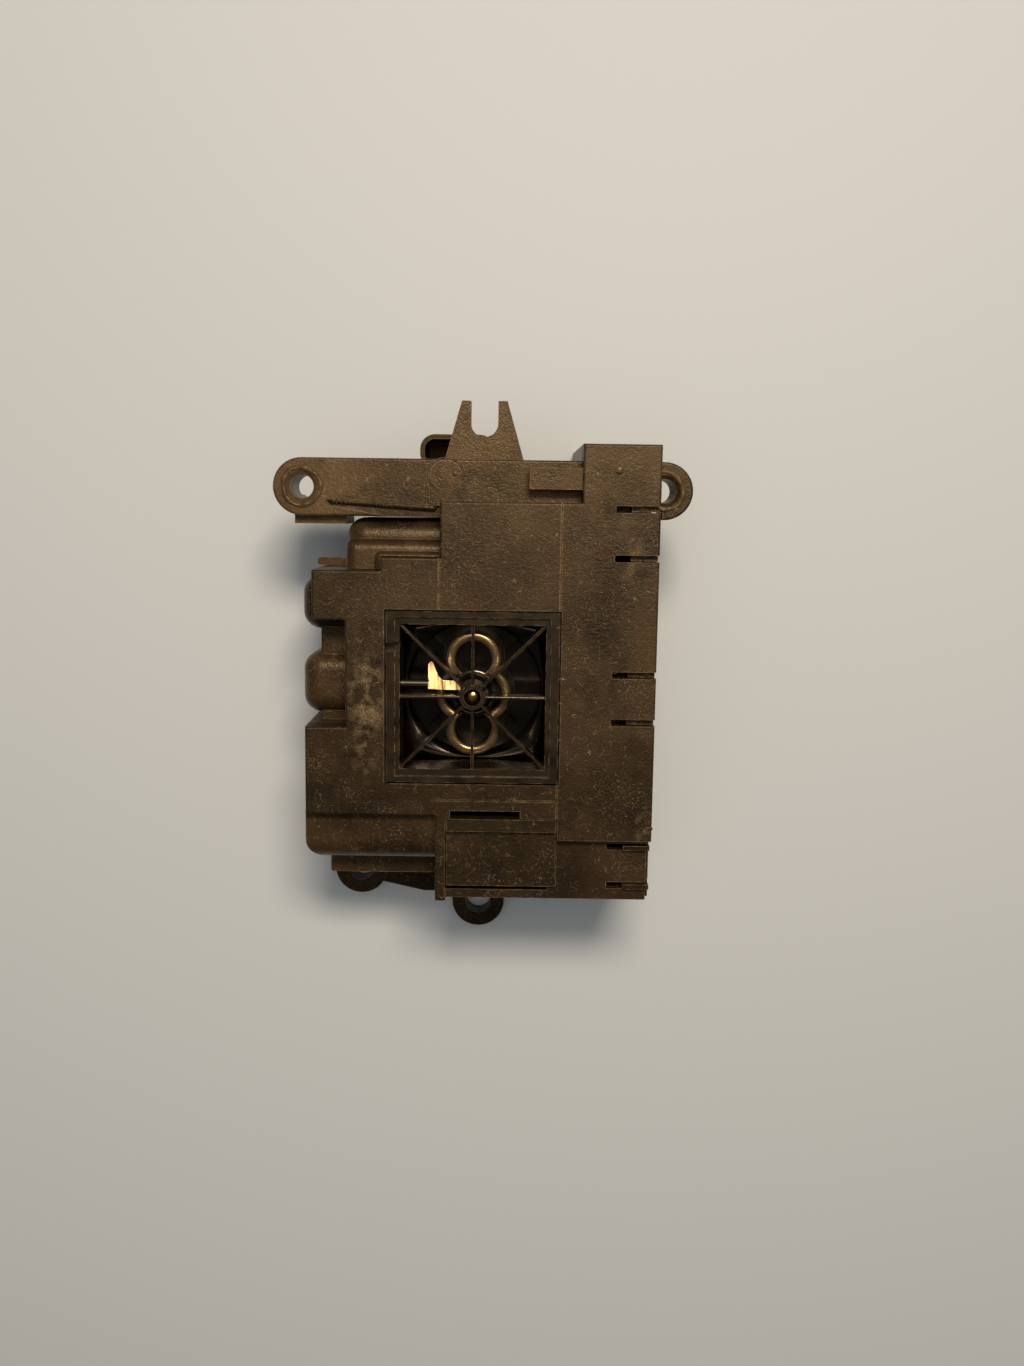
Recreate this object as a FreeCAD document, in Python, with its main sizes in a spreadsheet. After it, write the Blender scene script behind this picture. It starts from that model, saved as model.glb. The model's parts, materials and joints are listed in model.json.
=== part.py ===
"""Timer drive module, lying on its back with its face up.

The frame: the spindle's axis is Z, the rear face is the plane Z = 0, and +Y points to the two-eared bar.
Two black casings hold a small synchronous motor, a spur gear train, a switch and a circuit board.
"""
import FreeCAD, Part
import math
import os
import re
import Sketcher

doc = FreeCAD.newDocument("timer_module")
sizes = doc.addObject("Spreadsheet::Sheet", "Sizes")
pieces = []

SIZES = [
    ("Casings", [
        ("face_z", 52.0, "height of the face"),
        ("split_z", "=face_z - 6", "height of the joint between the casings"),
        ("wall", 2.0, "wall of both casings"),
        ("skin", 2.2, "thickness of the face plate"),
        ("fit_gap", 0.2, "gap between fitted plastic pieces"),
        ("edge_r", 0.5, "rounding of the face's edges"),
        ("seam", 0.35, "width and depth of the lines in the face"),
        ("over", 1.0, "how far a cutting shape reaches past what it cuts"),
    ]),
    ("Face outline", [
        ("face_right", 40.8, "right edge"),
        ("face_bottom", -46.8, "bottom edge"),
        ("column_left", 23.7, "left side of the tall column"),
        ("column_top", 56.1, "top of the tall column"),
        ("centre_top", 43.3, "top edge beside the column"),
        ("centre_left", -7.4, "left end of the top edge"),
        ("shoulder_top", 31.0, "step below the top edge"),
        ("shoulder_left", -20.5, "left end of that step"),
        ("arm_top", 28.0, "top of the left arm"),
        ("arm_left", -35.65, "tip of the left arm"),
        ("arm_bottom", 17.0, "underside of the left arm"),
        ("waist_left", -28.3, "left edge between arm and foot"),
        ("foot_top", -6.95, "top of the left foot"),
        ("foot_left", -37.35, "left edge of the foot"),
        ("foot_bottom", -26.9, "lower edge of the foot"),
        ("post_left", -8.1, "left side of the lower post"),
        ("step_left", 19.4, "left side of the sunk corner"),
        ("step_top", -32.3, "top of the sunk corner"),
        ("step_z", "=face_z - 3.2", "height of the sunk corner"),
        ("trim", 0.8, "how far the right edge stands back below that corner"),
        ("pad_left", 12.05, "left end of the pad that laps over the bar"),
        ("pad_high", 50.9, "upper side of that pad"),
        ("pad_z", "=face_z - 1.5", "height of that pad"),
    ]),
    ("Rounded housings at the left", [
        ("side_left", -35.2, "left wall below the face"),
        ("side_z", "=face_z - 11", "its roof"),
        ("upper_left", -29.0, "left side of the stepped housing"),
        ("upper_top", 39.5, "its top edge"),
        ("upper_z", "=face_z - 8", "roof of its first step"),
        ("middle_top", 34.8, "top edge of the second step"),
        ("middle_z", "=face_z - 5.2", "roof of the second step"),
        ("inner_top", 32.2, "top edge of the third step"),
        ("inner_left", -22.0, "left side of the third step"),
        ("inner_z", "=face_z - 2.5", "roof of the third step"),
        ("bulge_left", -39.3, "left side of both bulges"),
        ("bulge_z", "=face_z - 9", "roof of both bulges"),
        ("bulge_foot", 4.0, "underside of both bulges"),
        ("bulge_a_low", 14.0, "upper bulge, lower side"),
        ("bulge_a_high", 26.3, "upper bulge, upper side"),
        ("bulge_b_low", -5.4, "lower bulge, lower side"),
        ("bulge_b_high", 8.7, "lower bulge, upper side"),
        ("bulge_r", 4.0, "rounding of the bulges"),
        ("upper_r", 4.2, "rounding of its first step"),
        ("middle_r", 2.4, "rounding of its second step"),
        ("inner_r", 1.4, "rounding of its third step"),
        ("capsule_left", -37.9, "left side of the capacitor housing"),
        ("capsule_low", -38.6, "lower side of the capacitor housing"),
        ("capsule_z", "=face_z - 3.5", "roof of the capacitor housing"),
        ("capsule_foot", 18.0, "underside of the capacitor housing"),
        ("capsule_lap", 5.0, "how far its room reaches above the strip"),
        ("capsule_r", 5.0, "rounding of the capacitor housing"),
        ("strip_left", -33.6, "left side of the strip under it"),
        ("strip_low", -44.2, "lower side of that strip"),
        ("strip_z", "=face_z - 14", "height of that strip"),
    ]),
    ("Bar, fork, lugs and harness shroud", [
        ("bar_mid_x", 1.75, "middle of the bar"),
        ("bar_mid_y", 46.2, "line of the ear holes"),
        ("ear_pitch", 80.7, "distance between the ear holes"),
        ("ear_r", 6.4, "radius of the ears"),
        ("ear_hole_r", 2.65, "radius of the ear holes"),
        ("ear_sink_r", 3.6, "radius of the countersinks"),
        ("ear_sink", 0.6, "depth of the countersinks"),
        ("bar_z", "=face_z - 19", "rear face of the bar"),
        ("gusset_out", 2.0, "how far the gusset behind the left ear reaches past its hole"),
        ("gusset_down", 1.8, "how far the gusset hangs below the bar"),
        ("gusset_rear", 4.0, "how far it stands behind the bar"),
        ("gusset_sunk", 3.0, "how far its front lies behind the bar's front"),
        ("groove_left", -33.0, "left end of the slanted groove under the bar"),
        ("groove_high", 43.4, "its upper side at the left"),
        ("groove_low", 42.1, "its lower side at the left"),
        ("groove_deep", 1.2, "depth of that groove"),
        ("groove_end", 6.0, "length of its level right end"),
        ("ejector_x", -6.5, "middle of the ejector mark"),
        ("ejector_y", 49.0, "height of the ejector mark"),
        ("ejector_r", 3.9, "radius of the ejector mark"),
        ("fork_r", 3.1, "radius of the fork's slot"),
        ("fork_y", 61.1, "centre of the slot's round end"),
        ("fork_tip", 66.1, "tips of the prongs"),
        ("fork_tip_half", 5.2, "half width at the tips"),
        ("fork_root_half", 9.1, "half width at the root"),
        ("fork_thick", 3.5, "thickness of the fork"),
        ("lug_r", 6.8, "radius of the rear lugs"),
        ("lug_hole_r", 3.3, "radius of the rear lugs' holes"),
        ("lug_thick", 6.0, "thickness of the rear lugs"),
        ("lug_a_x", 0.6, "middle lug"),
        ("lug_a_y", -61.2, "middle lug"),
        ("lug_b_x", -30.2, "left lug"),
        ("lug_b_y", -52.6, "left lug"),
        ("web_in", 4.0, "how far the left lug's web stands in from its side"),
        ("brace_x", -14.0, "corner of the brace between the lugs"),
        ("brace_y", -59.6, "lower side of that brace"),
        ("shroud_left", -13.5, "harness shroud, left side"),
        ("shroud_right", 4.0, "harness shroud, right side"),
        ("shroud_top", 58.9, "harness shroud, top side"),
        ("shroud_low", 51.0, "harness shroud, lower side"),
        ("shroud_wall", 1.1, "harness shroud, wall"),
        ("shroud_rear", 15.0, "harness shroud, rear end"),
        ("shroud_mouth", 29.0, "harness shroud, mouth"),
        ("shroud_r", 3.5, "harness shroud, corner"),
        ("neck_left", -10.0, "neck of the shroud, left side"),
        ("neck_right", 2.2, "neck of the shroud, right side"),
        ("neck_low", 15.0, "neck of the shroud, underside"),
        ("neck_high", 21.2, "neck of the shroud, top side"),
    ]),
    ("Snap tongues", [
        ("tongue_half", 4.6, "half width of a tongue"),
        ("low_tongue_half", 3.8, "half width of the lowest tongue"),
        ("tongue_thick", 1.6, "thickness of a tongue"),
        ("tongue_tip", "=face_z - 19", "lower end of a tongue"),
        ("slot_width", 1.5, "slots beside a tongue"),
        ("slot_length", 9.8, "length of those slots"),
        ("rib_long", 6.2, "length of the ribs that stand in the slots"),
        ("rib_top", "=face_z - 1.8", "top of those ribs"),
        ("tongue_a_y", 36.7, "upper tongue"),
        ("tongue_b_y", 0.2, "middle tongue"),
        ("tongue_c_y", -38.9, "lower tongue"),
        ("hook_low", "=face_z - 16", "lower side of a hook"),
        ("hook_high", "=face_z - 13", "upper side of a hook"),
        ("hook_half", 2.4, "half width of a hook"),
        ("hook_out", 1.2, "how far a hook stands out"),
    ]),
    ("Window and service panel", [
        ("frame_half", 19.2, "half width of the window frame"),
        ("frame_in", 16.3, "half width of its opening"),
        ("frame_rear", "=face_z - 10", "rear end of the window frame"),
        ("lip_half", 20.9, "half width of its lip"),
        ("lip_thick", 1.4, "thickness of its lip"),
        ("window_gap", 0.4, "gap around the window frame"),
        ("notch_low", 10.2, "notch in the frame"),
        ("notch_high", 12.3, "notch in the frame"),
        ("notch_deep", 5.0, "depth of that notch"),
        ("spoke", 0.6, "thickness of a spoke"),
        ("spoke_rear", "=face_z - 5.2", "rear edge of the spokes"),
        ("spoke_front", "=face_z - 1.6", "front edge of the spokes"),
        ("hub_r", 2.75, "radius of the front bearing"),
        ("hub_front", "=face_z - 0.7", "front end of the front bearing"),
        ("frame_step", 1.3, "width of the frame's raised rim"),
        ("frame_step_deep", 0.8, "height of that rim"),
        ("well_z", "=face_z - 18", "underside of the well behind the frame"),
        ("well_wall", 1.0, "wall of the well"),
        ("well_leg_r", 1.3, "legs of the well"),
        ("well_leg_out", 16.3, "distance of the legs from the middle"),
        ("panel_left", -5.8, "service panel, left side"),
        ("panel_right", 19.4, "service panel, right side"),
        ("panel_low", -43.8, "service panel, lower side"),
        ("panel_high", -31.2, "service panel, upper side"),
        ("panel_z", "=face_z - 1.8", "service panel, height"),
        ("panel_thick", 1.8, "service panel, thickness"),
        ("arm_low", -30.5, "latch arm, lower side"),
        ("arm_high", -27.6, "latch arm, upper side"),
        ("arm_root", 4.0, "length of the latch arm's root"),
        ("latch_slot_right", 11.0, "right end of the slot above the latch arm"),
        ("latch_slot_high", -25.7, "upper side of that slot"),
        ("latch_rise", 1.8, "how far the latch arm stands above the panel"),
        ("line_low", -23.5, "line in the face above the slot"),
    ]),
    ("Spindle and gear train", [
        ("spindle_r", 3.5, "spindle"),
        ("nose_r", 1.85, "spindle's front end"),
        ("nose_end", "=face_z - 2.6", "tip of the spindle"),
        ("nose_z", "=face_z - 6", "where the spindle steps down"),
        ("socket_r", 2.5, "drive socket in the spindle's rear end"),
        ("socket_deep", 10.0, "depth of the drive socket"),
        ("key_deep", 0.5, "depth of the drive socket's key slot"),
        ("key_half", 0.6, "half width of that slot"),
        ("running_gap", 0.05, "radial clearance of the bearings"),
        ("bush_r", 5.0, "outer radius of the rear bush"),
        ("bush_flange_r", 6.4, "flange of the rear bush"),
        ("boss_r", 7.5, "boss around the rear bush"),
        ("boss_top", 7.0, "height of that boss"),
        ("collar_z", 8.2, "underside of the spindle's shoulder"),
        ("collar_high", 1.6, "thickness of the spindle's shoulder"),
        ("collar_r", 5.4, "radius of the spindle's shoulder"),
        ("module_size", 0.8, "gear module"),
        ("backlash", 0.22, "backlash of each gear"),
        ("spindle_teeth", 40, "teeth of the spindle gear"),
        ("pinion_teeth", 12, "teeth of the reduction pinion"),
        ("wheel_teeth", 36, "teeth of the reduction wheel"),
        ("rotor_teeth", 10, "teeth of the rotor pinion"),
        ("spindle_gear_z", 28.0, "underside of the spindle gear"),
        ("spindle_gear_high", 4.0, "width of the spindle gear"),
        ("wheel_z", 23.4, "underside of the reduction wheel"),
        ("wheel_high", 3.0, "width of the reduction wheel"),
        ("pinion_z", 27.0, "underside of the reduction pinion"),
        ("pinion_high", 5.2, "width of the reduction pinion"),
        ("idler_angle", -35.0, "direction of the reduction gear, degrees"),
        ("rotor_angle", 60.0, "direction of the rotor from there, degrees"),
        ("axle_r", 1.5, "reduction gear's axle"),
        ("axle_end", 33.6, "tip of that axle"),
        ("clip_r", 3.2, "radius of the axle's clip"),
        ("clip_thick", 0.6, "thickness of the clips"),
        ("clip_wide", 2.0, "width of the retaining ring"),
        ("lobe_base_z", "=face_z - 16", "underside of the lobed collar"),
        ("lobe_floor", 1.6, "floor of the lobed collar"),
        ("lobe_hub", 1.2, "wall of the collar's hub"),
        ("lobe_top", "=face_z - 7", "rim of the lobed collar"),
        ("lobe_long", 8.0, "centre of the long lobes"),
        ("lobe_long_r", 6.1, "radius of the long lobes"),
        ("lobe_short", 1.9, "centre of the short lobes"),
        ("lobe_short_r", 6.5, "radius of the short lobes"),
        ("lobe_wall", 1.9, "wall of the lobed collar"),
        ("lobe_brim", 1.0, "brim of the floor around the lobes"),
        ("nose_round", 0.9, "bevel of the spindle's tip"),
    ]),
    ("Bearing plate and its screws", [
        ("plate_z", 20.0, "underside of the bearing plate"),
        ("plate_thick", 2.0, "thickness of the bearing plate"),
        ("plate_left", -18.6, "bearing plate, left side"),
        ("plate_right", 36.3, "bearing plate, right side"),
        ("plate_low", -28.0, "bearing plate, lower side"),
        ("plate_high", 20.5, "bearing plate, upper side"),
        ("plate_step_x", 12.0, "bearing plate, notch for the switch"),
        ("plate_step_y", 13.5, "bearing plate, notch for the switch"),
        ("post_r", 3.2, "posts under the bearing plate"),
        ("screw_r", 1.25, "screw shanks"),
        ("screw_head_r", 2.6, "screw heads"),
        ("screw_head", 1.8, "height of the screw heads"),
        ("screw_long", 8.0, "length of the screw shanks"),
        ("cross_half", 1.6, "half length of the cross recess"),
        ("cross_thin", 0.3, "half width of the cross recess"),
        ("post_west", -8.2, "left posts"),
        ("post_east", 32.8, "right posts"),
        ("post_south", -24.4, "lower posts"),
        ("post_north_w", 9.8, "upper left post"),
        ("post_north_e", 17.0, "upper right post"),
    ]),
    ("Motor", [
        ("can_r", 9.5, "outer radius of the can"),
        ("can_wall", 0.8, "wall of the can"),
        ("can_z", 4.0, "underside of the can"),
        ("end_plate", 1.0, "thickness of the end plate"),
        ("shaft_r", 1.0, "rotor shaft"),
        ("shaft_low", 3.0, "lower end of the rotor shaft"),
        ("shaft_end", 27.4, "upper end of the rotor shaft"),
        ("motor_bush_r", 2.5, "outer radius of the motor bushes"),
        ("magnet_r", 4.6, "rotor magnet"),
        ("magnet_z", 7.5, "underside of the magnet"),
        ("magnet_high", 9.0, "length of the magnet"),
        ("spool_in", 5.2, "inner radius of the bobbin"),
        ("spool_wall", 0.9, "wall of the bobbin"),
        ("spool_r", 8.5, "flange of the bobbin"),
        ("spool_z", 6.0, "underside of the bobbin"),
        ("spool_high", 13.0, "length of the bobbin"),
        ("winding_r", 8.1, "outer radius of the winding"),
        ("nest_r", 11.3, "ring that holds the can"),
        ("nest_top", 8.0, "height of that ring"),
    ]),
    ("Switch and push tab", [
        ("switch_left", -20.0, "switch, plunger side"),
        ("switch_wide", 10.2, "switch, across"),
        ("switch_low", 15.2, "switch, lower end"),
        ("switch_long", 19.8, "switch, length"),
        ("switch_z", 27.2, "switch, underside"),
        ("switch_thick", 6.4, "switch, thickness"),
        ("switch_pitch", 9.5, "distance between the switch's holes"),
        ("switch_hole_x", -14.9, "line of the switch's holes"),
        ("switch_hole_y", 20.2, "first hole"),
        ("switch_hole_r", 1.2, "radius of the switch's holes"),
        ("switch_post_r", 2.6, "posts under the switch"),
        ("plunger_out", 1.7, "how far the plunger stands out"),
        ("plunger_in", 1.5, "how far it reaches in at rest"),
        ("plunger_wide", 1.6, "width of the plunger"),
        ("plunger_high", 3.0, "height of the plunger"),
        ("travel", 1.2, "travel of the tab and the plunger"),
        ("blade_long", 4.4, "length of a terminal"),
        ("blade_high", 3.2, "width of a terminal"),
        ("blade_thick", 0.5, "thickness of a terminal"),
        ("blade_pitch", 7.2, "distance between terminals"),
        ("tab_y", 29.1, "middle of the push tab"),
        ("tab_wide", 1.9, "width of the push tab"),
        ("tab_z", 28.4, "underside of the push tab"),
        ("tab_high", 4.0, "height of the push tab"),
        ("tab_tip", -37.2, "outer tip of the push tab"),
        ("tab_stop_long", 2.6, "length of its stop"),
        ("tab_stop_high", 2.0, "how far its stop stands up"),
        ("slide_gap", 0.15, "clearance around sliding pieces"),
        ("touch_gap", 0.06, "gap between tab and plunger at rest"),
    ]),
    ("Circuit board", [
        ("board_left", -26.0, "left side"),
        ("board_right", -12.6, "right side of the long part"),
        ("board_low", -37.0, "lower side"),
        ("board_high", 36.4, "upper side"),
        ("board_wing_right", 4.0, "right side of the wing"),
        ("board_wing_low", 24.0, "lower side of the wing"),
        ("board_z", 6.0, "underside"),
        ("board_thick", 1.6, "thickness"),
        ("board_post_r", 2.2, "posts under the board"),
        ("board_post_in", 4.0, "left posts, distance from the board's side"),
        ("board_post_near", 3.0, "right post, distance from the board's side"),
        ("board_post_out", 20.0, "left posts, distance from the middle"),
        ("board_post_low", -30.0, "lower right post"),
        ("wing_post_x", -2.0, "post under the wing"),
        ("wing_post_y", 30.0, "post under the wing"),
        ("relay_wide", 10.0, "relay, across"),
        ("relay_long", 19.0, "relay, length"),
        ("relay_high", 10.5, "relay, height"),
        ("relay_low", -25.4, "relay, lower end"),
        ("capacitor_left", "=capsule_left + wall + 1.9", "capacitor, left end"),
        ("capacitor_long", 21.0, "capacitor, length"),
        ("capacitor_low", "=capsule_low + wall", "capacitor, lower side"),
        ("capacitor_wide", 7.4, "capacitor, across"),
        ("capacitor_z", 27.0, "capacitor, underside"),
        ("capacitor_high", 14.0, "capacitor, height"),
        ("lead_r", 0.4, "capacitor leads"),
        ("lead_pitch", 7.0, "distance between the leads"),
        ("lead_x", -23.0, "left lead"),
        ("pin_first", -4.8, "first contact pin"),
        ("pin_pitch", 1.9, "distance between contact pins"),
        ("pin_thick", 0.8, "thickness of a contact pin"),
        ("pin_z", 19.0, "height of the pins' run"),
        ("pin_tip", 22.0, "tip of the pins"),
        ("pin_y", 56.0, "middle of the pins' tips"),
        ("pin_tail_y", 33.5, "middle of the pins' tails"),
        ("cable_r", 0.7, "motor leads"),
        ("cable_z", 12.5, "height of the motor leads"),
        ("cable_y", -4.9, "first motor lead"),
        ("cable_pitch", 9.8, "distance between the motor leads, one each side of the spindle"),
    ]),
]
EARS = (-1, 1)
TONGUES = [("tongue_a_y", "tongue_half"), ("tongue_b_y", "tongue_half"), ("tongue_c_y", "low_tongue_half")]
WELL_LEGS = [("-well_leg_out", "-well_leg_out"), ("-well_leg_out", "plate_step_y - 2 * well_leg_r"),
             ("well_leg_out", "well_leg_out")]
POSTS = [("post_west", "post_south"), ("post_east", "post_south"),
         ("post_west", "post_north_w"), ("post_east", "post_north_e")]
BOARD_POSTS = [("board_left + board_post_in", "-board_post_out"),
               ("board_left + board_post_in", "board_post_out"),
               ("board_right - board_post_near", "board_post_low"), ("wing_post_x", "wing_post_y")]
PIN_COUNT = 4
CROSS = ("cross_half", "cross_thin")
SPOKE_STEP = 45

FACE = [("face_right", "face_bottom"), ("face_right", "column_top"), ("column_left", "column_top"),
        ("column_left", "centre_top"), ("centre_left", "centre_top"), ("centre_left", "shoulder_top"),
        ("shoulder_left", "shoulder_top"), ("shoulder_left", "arm_top"), ("arm_left", "arm_top"),
        ("arm_left", "arm_bottom"), ("waist_left", "arm_bottom"), ("waist_left", "foot_top"),
        ("foot_left", "foot_top"), ("foot_left", "foot_bottom"), ("post_left", "foot_bottom"),
        ("post_left", "face_bottom")]


def fill_sheet():
    """Write every driving dimension into the sheet, one row each."""
    row = 0
    for group, lines in SIZES:
        row += 1
        sizes.set(f"A{row}", group)
        for alias, number, meaning in lines:
            row += 1
            sizes.set(f"A{row}", meaning)
            sizes.set(f"B{row}", str(number))
            sizes.setAlias(f"B{row}", alias)
    doc.recompute()


def size(alias):
    """The number behind an alias."""
    return float(sizes.get(alias))


def bind(thing, prop, text):
    """Tie a property to an expression whose words are aliases of the sheet."""
    thing.setExpression(prop, re.sub(r"\b[a-z]\w*\b(?!\()", lambda word: "Sizes." + word.group(),
                                     str(text)))


def block(name, x_span, y_span, z_span):
    """A box between three pairs of expressions."""
    box = doc.addObject("Part::Box", name)
    for side, axis, span in zip(("Length", "Width", "Height"), "xyz", (x_span, y_span, z_span)):
        bind(box, side, f"({span[1]}) - ({span[0]})")
        bind(box, f"Placement.Base.{axis}", span[0])
    return box


def rod(name, x, y, z_span, radius):
    """A cylinder that stands along Z."""
    cylinder = doc.addObject("Part::Cylinder", name)
    bind(cylinder, "Radius", radius)
    bind(cylinder, "Height", f"({z_span[1]}) - ({z_span[0]})")
    for axis, text in zip("xyz", (x, y, z_span[0])):
        bind(cylinder, f"Placement.Base.{axis}", text)
    return cylinder


def fuse(name, *shapes):
    """Several shapes as one."""
    union = doc.addObject("Part::MultiFuse", name)
    union.Shapes = list(shapes)
    union.Refine = True
    return union


def cut(name, base, *tools):
    """A shape with others taken out of it."""
    result = doc.addObject("Part::Cut", name)
    result.Base = base
    result.Tool = tools[0] if len(tools) == 1 else fuse(name + "Tools", *tools)
    result.Refine = True
    return result


def soften(name, base, radius, chosen):
    """Round the edges that the test picks, at a radius from the sheet."""
    doc.recompute()
    rounded = doc.addObject("Part::Fillet", name)
    rounded.Base = base
    rounded.Edges = [(number + 1, radius, radius)
                     for number, edge in enumerate(base.Shape.Edges) if chosen(edge, base.Shape.BoundBox)]
    return rounded


def around_top(edge, box):
    """Edges in the top plane of a shape."""
    return edge.BoundBox.ZMin > box.ZMax - 1e-6


def upright(edge, box):
    """Upright edges of a shape."""
    return edge.BoundBox.ZLength > 0.9 * box.ZLength and edge.BoundBox.XLength < 1e-6


def upright_left(edge, box):
    """The two upright edges of a shape's left side."""
    return upright(edge, box) and edge.BoundBox.XMax < box.XMin + 1e-6


def outer_left(edge, box):
    """Top and upright edges of a shape, but not those of its right side, where it joins the casing."""
    on_right = edge.BoundBox.XMin > box.XMax - 1e-6
    return not on_right and (upright(edge, box) or around_top(edge, box))


def outer_low(edge, box):
    """The lower top edge and the lower left upright edge of a shape."""
    lowest = edge.BoundBox.YMax < box.YMin + 1e-6
    return lowest and (upright_left(edge, box) or around_top(edge, box))


def outline(sketch, corners):
    """A closed polygon in a sketch, each corner held by two bound distances from the origin."""
    count = len(corners)
    ring = [FreeCAD.Vector(math.cos(2 * math.pi * k / count), math.sin(2 * math.pi * k / count), 0) * 10
            for k in range(count)]
    for k in range(count):
        sketch.addGeometry(Part.LineSegment(ring[k], ring[(k + 1) % count]), False)
    for k in range(count):
        sketch.addConstraint(Sketcher.Constraint("Coincident", k, 2, (k + 1) % count, 1))
    for k, corner in enumerate(corners):
        for kind, text in zip(("DistanceX", "DistanceY"), corner):
            index = sketch.addConstraint(Sketcher.Constraint(kind, -1, 1, k, 1, 1.0))
            bind(sketch, f"Constraints[{index}]", text)


def prism(name, corners, z_span):
    """An upright prism on a polygon."""
    sketch = doc.addObject("Sketcher::SketchObject", name + "Outline")
    outline(sketch, corners)
    bind(sketch, "Placement.Base.z", z_span[0])
    body = doc.addObject("Part::Extrusion", name)
    body.Base = sketch
    body.DirMode = "Custom"
    body.Dir = (0, 0, 1)
    body.Solid = True
    bind(body, "LengthFwd", f"({z_span[1]}) - ({z_span[0]})")
    return body


def inset(corners, depth):
    """The corners of a square-cornered outline moved inwards; it runs counter-clockwise."""
    def moved(here, there, along):
        first, second = corners[here], corners[there]
        rising = size(second[1 - along]) > size(first[1 - along])
        inwards = "-" if rising == (along == 0) else "+"
        return f"{first[along]} {inwards} {depth}"

    result = []
    for k in range(len(corners)):
        before, after = k - 1, (k + 1) % len(corners)
        arrives_upright = corners[before][0] == corners[k][0]
        if arrives_upright:
            result.append((moved(before, k, 0), moved(k, after, 1)))
        else:
            result.append((moved(k, after, 0), moved(before, k, 1)))
    return result


def turned(name, profile, x="0", y="0"):
    """A turned piece: a profile of (radius, height) corners revolved about an upright axis."""
    body = doc.addObject("PartDesign::Body", name)
    plane = next(item for item in body.Origin.OriginFeatures if item.Role == "XZ_Plane")
    sketch = body.newObject("Sketcher::SketchObject", name + "Profile")
    sketch.AttachmentSupport = (plane, [""])
    sketch.MapMode = "FlatFace"
    outline(sketch, profile)
    revolved = body.newObject("PartDesign::Revolution", name + "Turned")
    revolved.Profile = sketch
    revolved.ReferenceAxis = (sketch, ["V_Axis"])
    revolved.Angle = 360
    bind(body, "Placement.Base.x", x)
    bind(body, "Placement.Base.y", y)
    return body


def ring(name, outer, inner, z_span, x="0", y="0"):
    """A plain turned ring."""
    low, high = z_span
    return turned(name, [(inner, low), (outer, low), (outer, high), (inner, high)], x, y)


def group(name, shapes):
    """Several equal solids as one piece."""
    together = doc.addObject("Part::Compound", name)
    together.Links = list(shapes)
    return together


def piece(label, thing):
    """Name a finished piece; its label is its file's name."""
    thing.Label = label
    pieces.append(thing)
    return thing


# ---- base housing -------------------------------------------------------------------------------------
def housing_shell():
    """The deep casing: its outside, the rounded housings at its left, and the room inside them."""
    body = prism("HousingBlock", FACE, ("0", "split_z"))
    room = prism("HousingRoom", inset(FACE, "wall"), ("wall", "split_z + over"))
    side = block("SideBlock", ("side_left", "waist_left + wall"), ("foot_bottom", "arm_top"),
                 ("0", "side_z"))
    side = soften("SideRound", side, size("edge_r"), outer_left)
    side_room = block("SideRoom", ("side_left + wall", "shoulder_left"),
                      ("foot_bottom + wall", "arm_top - wall"), ("wall", "side_z - wall"))
    solids, rooms = [body, side], [room, side_room]
    for tag in ("a", "b"):
        low, high = f"bulge_{tag}_low", f"bulge_{tag}_high"
        bulge = block("Bulge" + tag, ("bulge_left", "waist_left"), (low, high), ("bulge_foot", "bulge_z"))
        solids.append(soften("BulgeRound" + tag, bulge, size("bulge_r"), outer_left))
        rooms.append(block("BulgeRoom" + tag, ("bulge_left + wall", "waist_left + wall"),
                           (f"{low} + wall", f"{high} - wall"), ("bulge_foot + wall", "side_z - wall")))
    for step in ("upper", "middle", "inner"):
        left = "inner_left" if step == "inner" else "upper_left"
        pillow = block(f"{step}Step", (left, "centre_left"), ("arm_top - wall", f"{step}_top"),
                       ("0", f"{step}_z"))
        solids.append(soften(f"{step}Round", pillow, size(f"{step}_r"), outer_left))
    rooms.append(block("UpperRoom", ("upper_left + wall", "centre_left + wall"),
                       ("arm_bottom", "upper_top - wall"), ("wall", "upper_z - wall")))
    capsule = block("Capsule", ("capsule_left", "post_left"), ("capsule_low", "foot_bottom"),
                    ("capsule_foot", "capsule_z"))
    solids.append(soften("CapsuleRound", capsule, size("capsule_r"), outer_low))
    solids.append(block("Strip", ("strip_left", "post_left"), ("strip_low", "foot_bottom"),
                        ("0", "strip_z")))
    rooms.append(block("CapsuleRoom", ("capsule_left + wall", "post_left + wall"),
                       ("capsule_low + wall", "foot_bottom + wall"),
                       ("capsule_foot + wall", "strip_z + capsule_lap")))
    rooms.append(block("StripRoom", ("strip_left + wall", "post_left + wall"),
                       ("strip_low + wall", "foot_bottom + wall"), ("wall", "strip_z - wall")))
    rooms.append(prism("CoverSpace", inset(FACE, "-fit_gap"), ("split_z", "face_z + over")))
    return cut("HousingShell", fuse("HousingOutside", *solids), *rooms)


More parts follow.
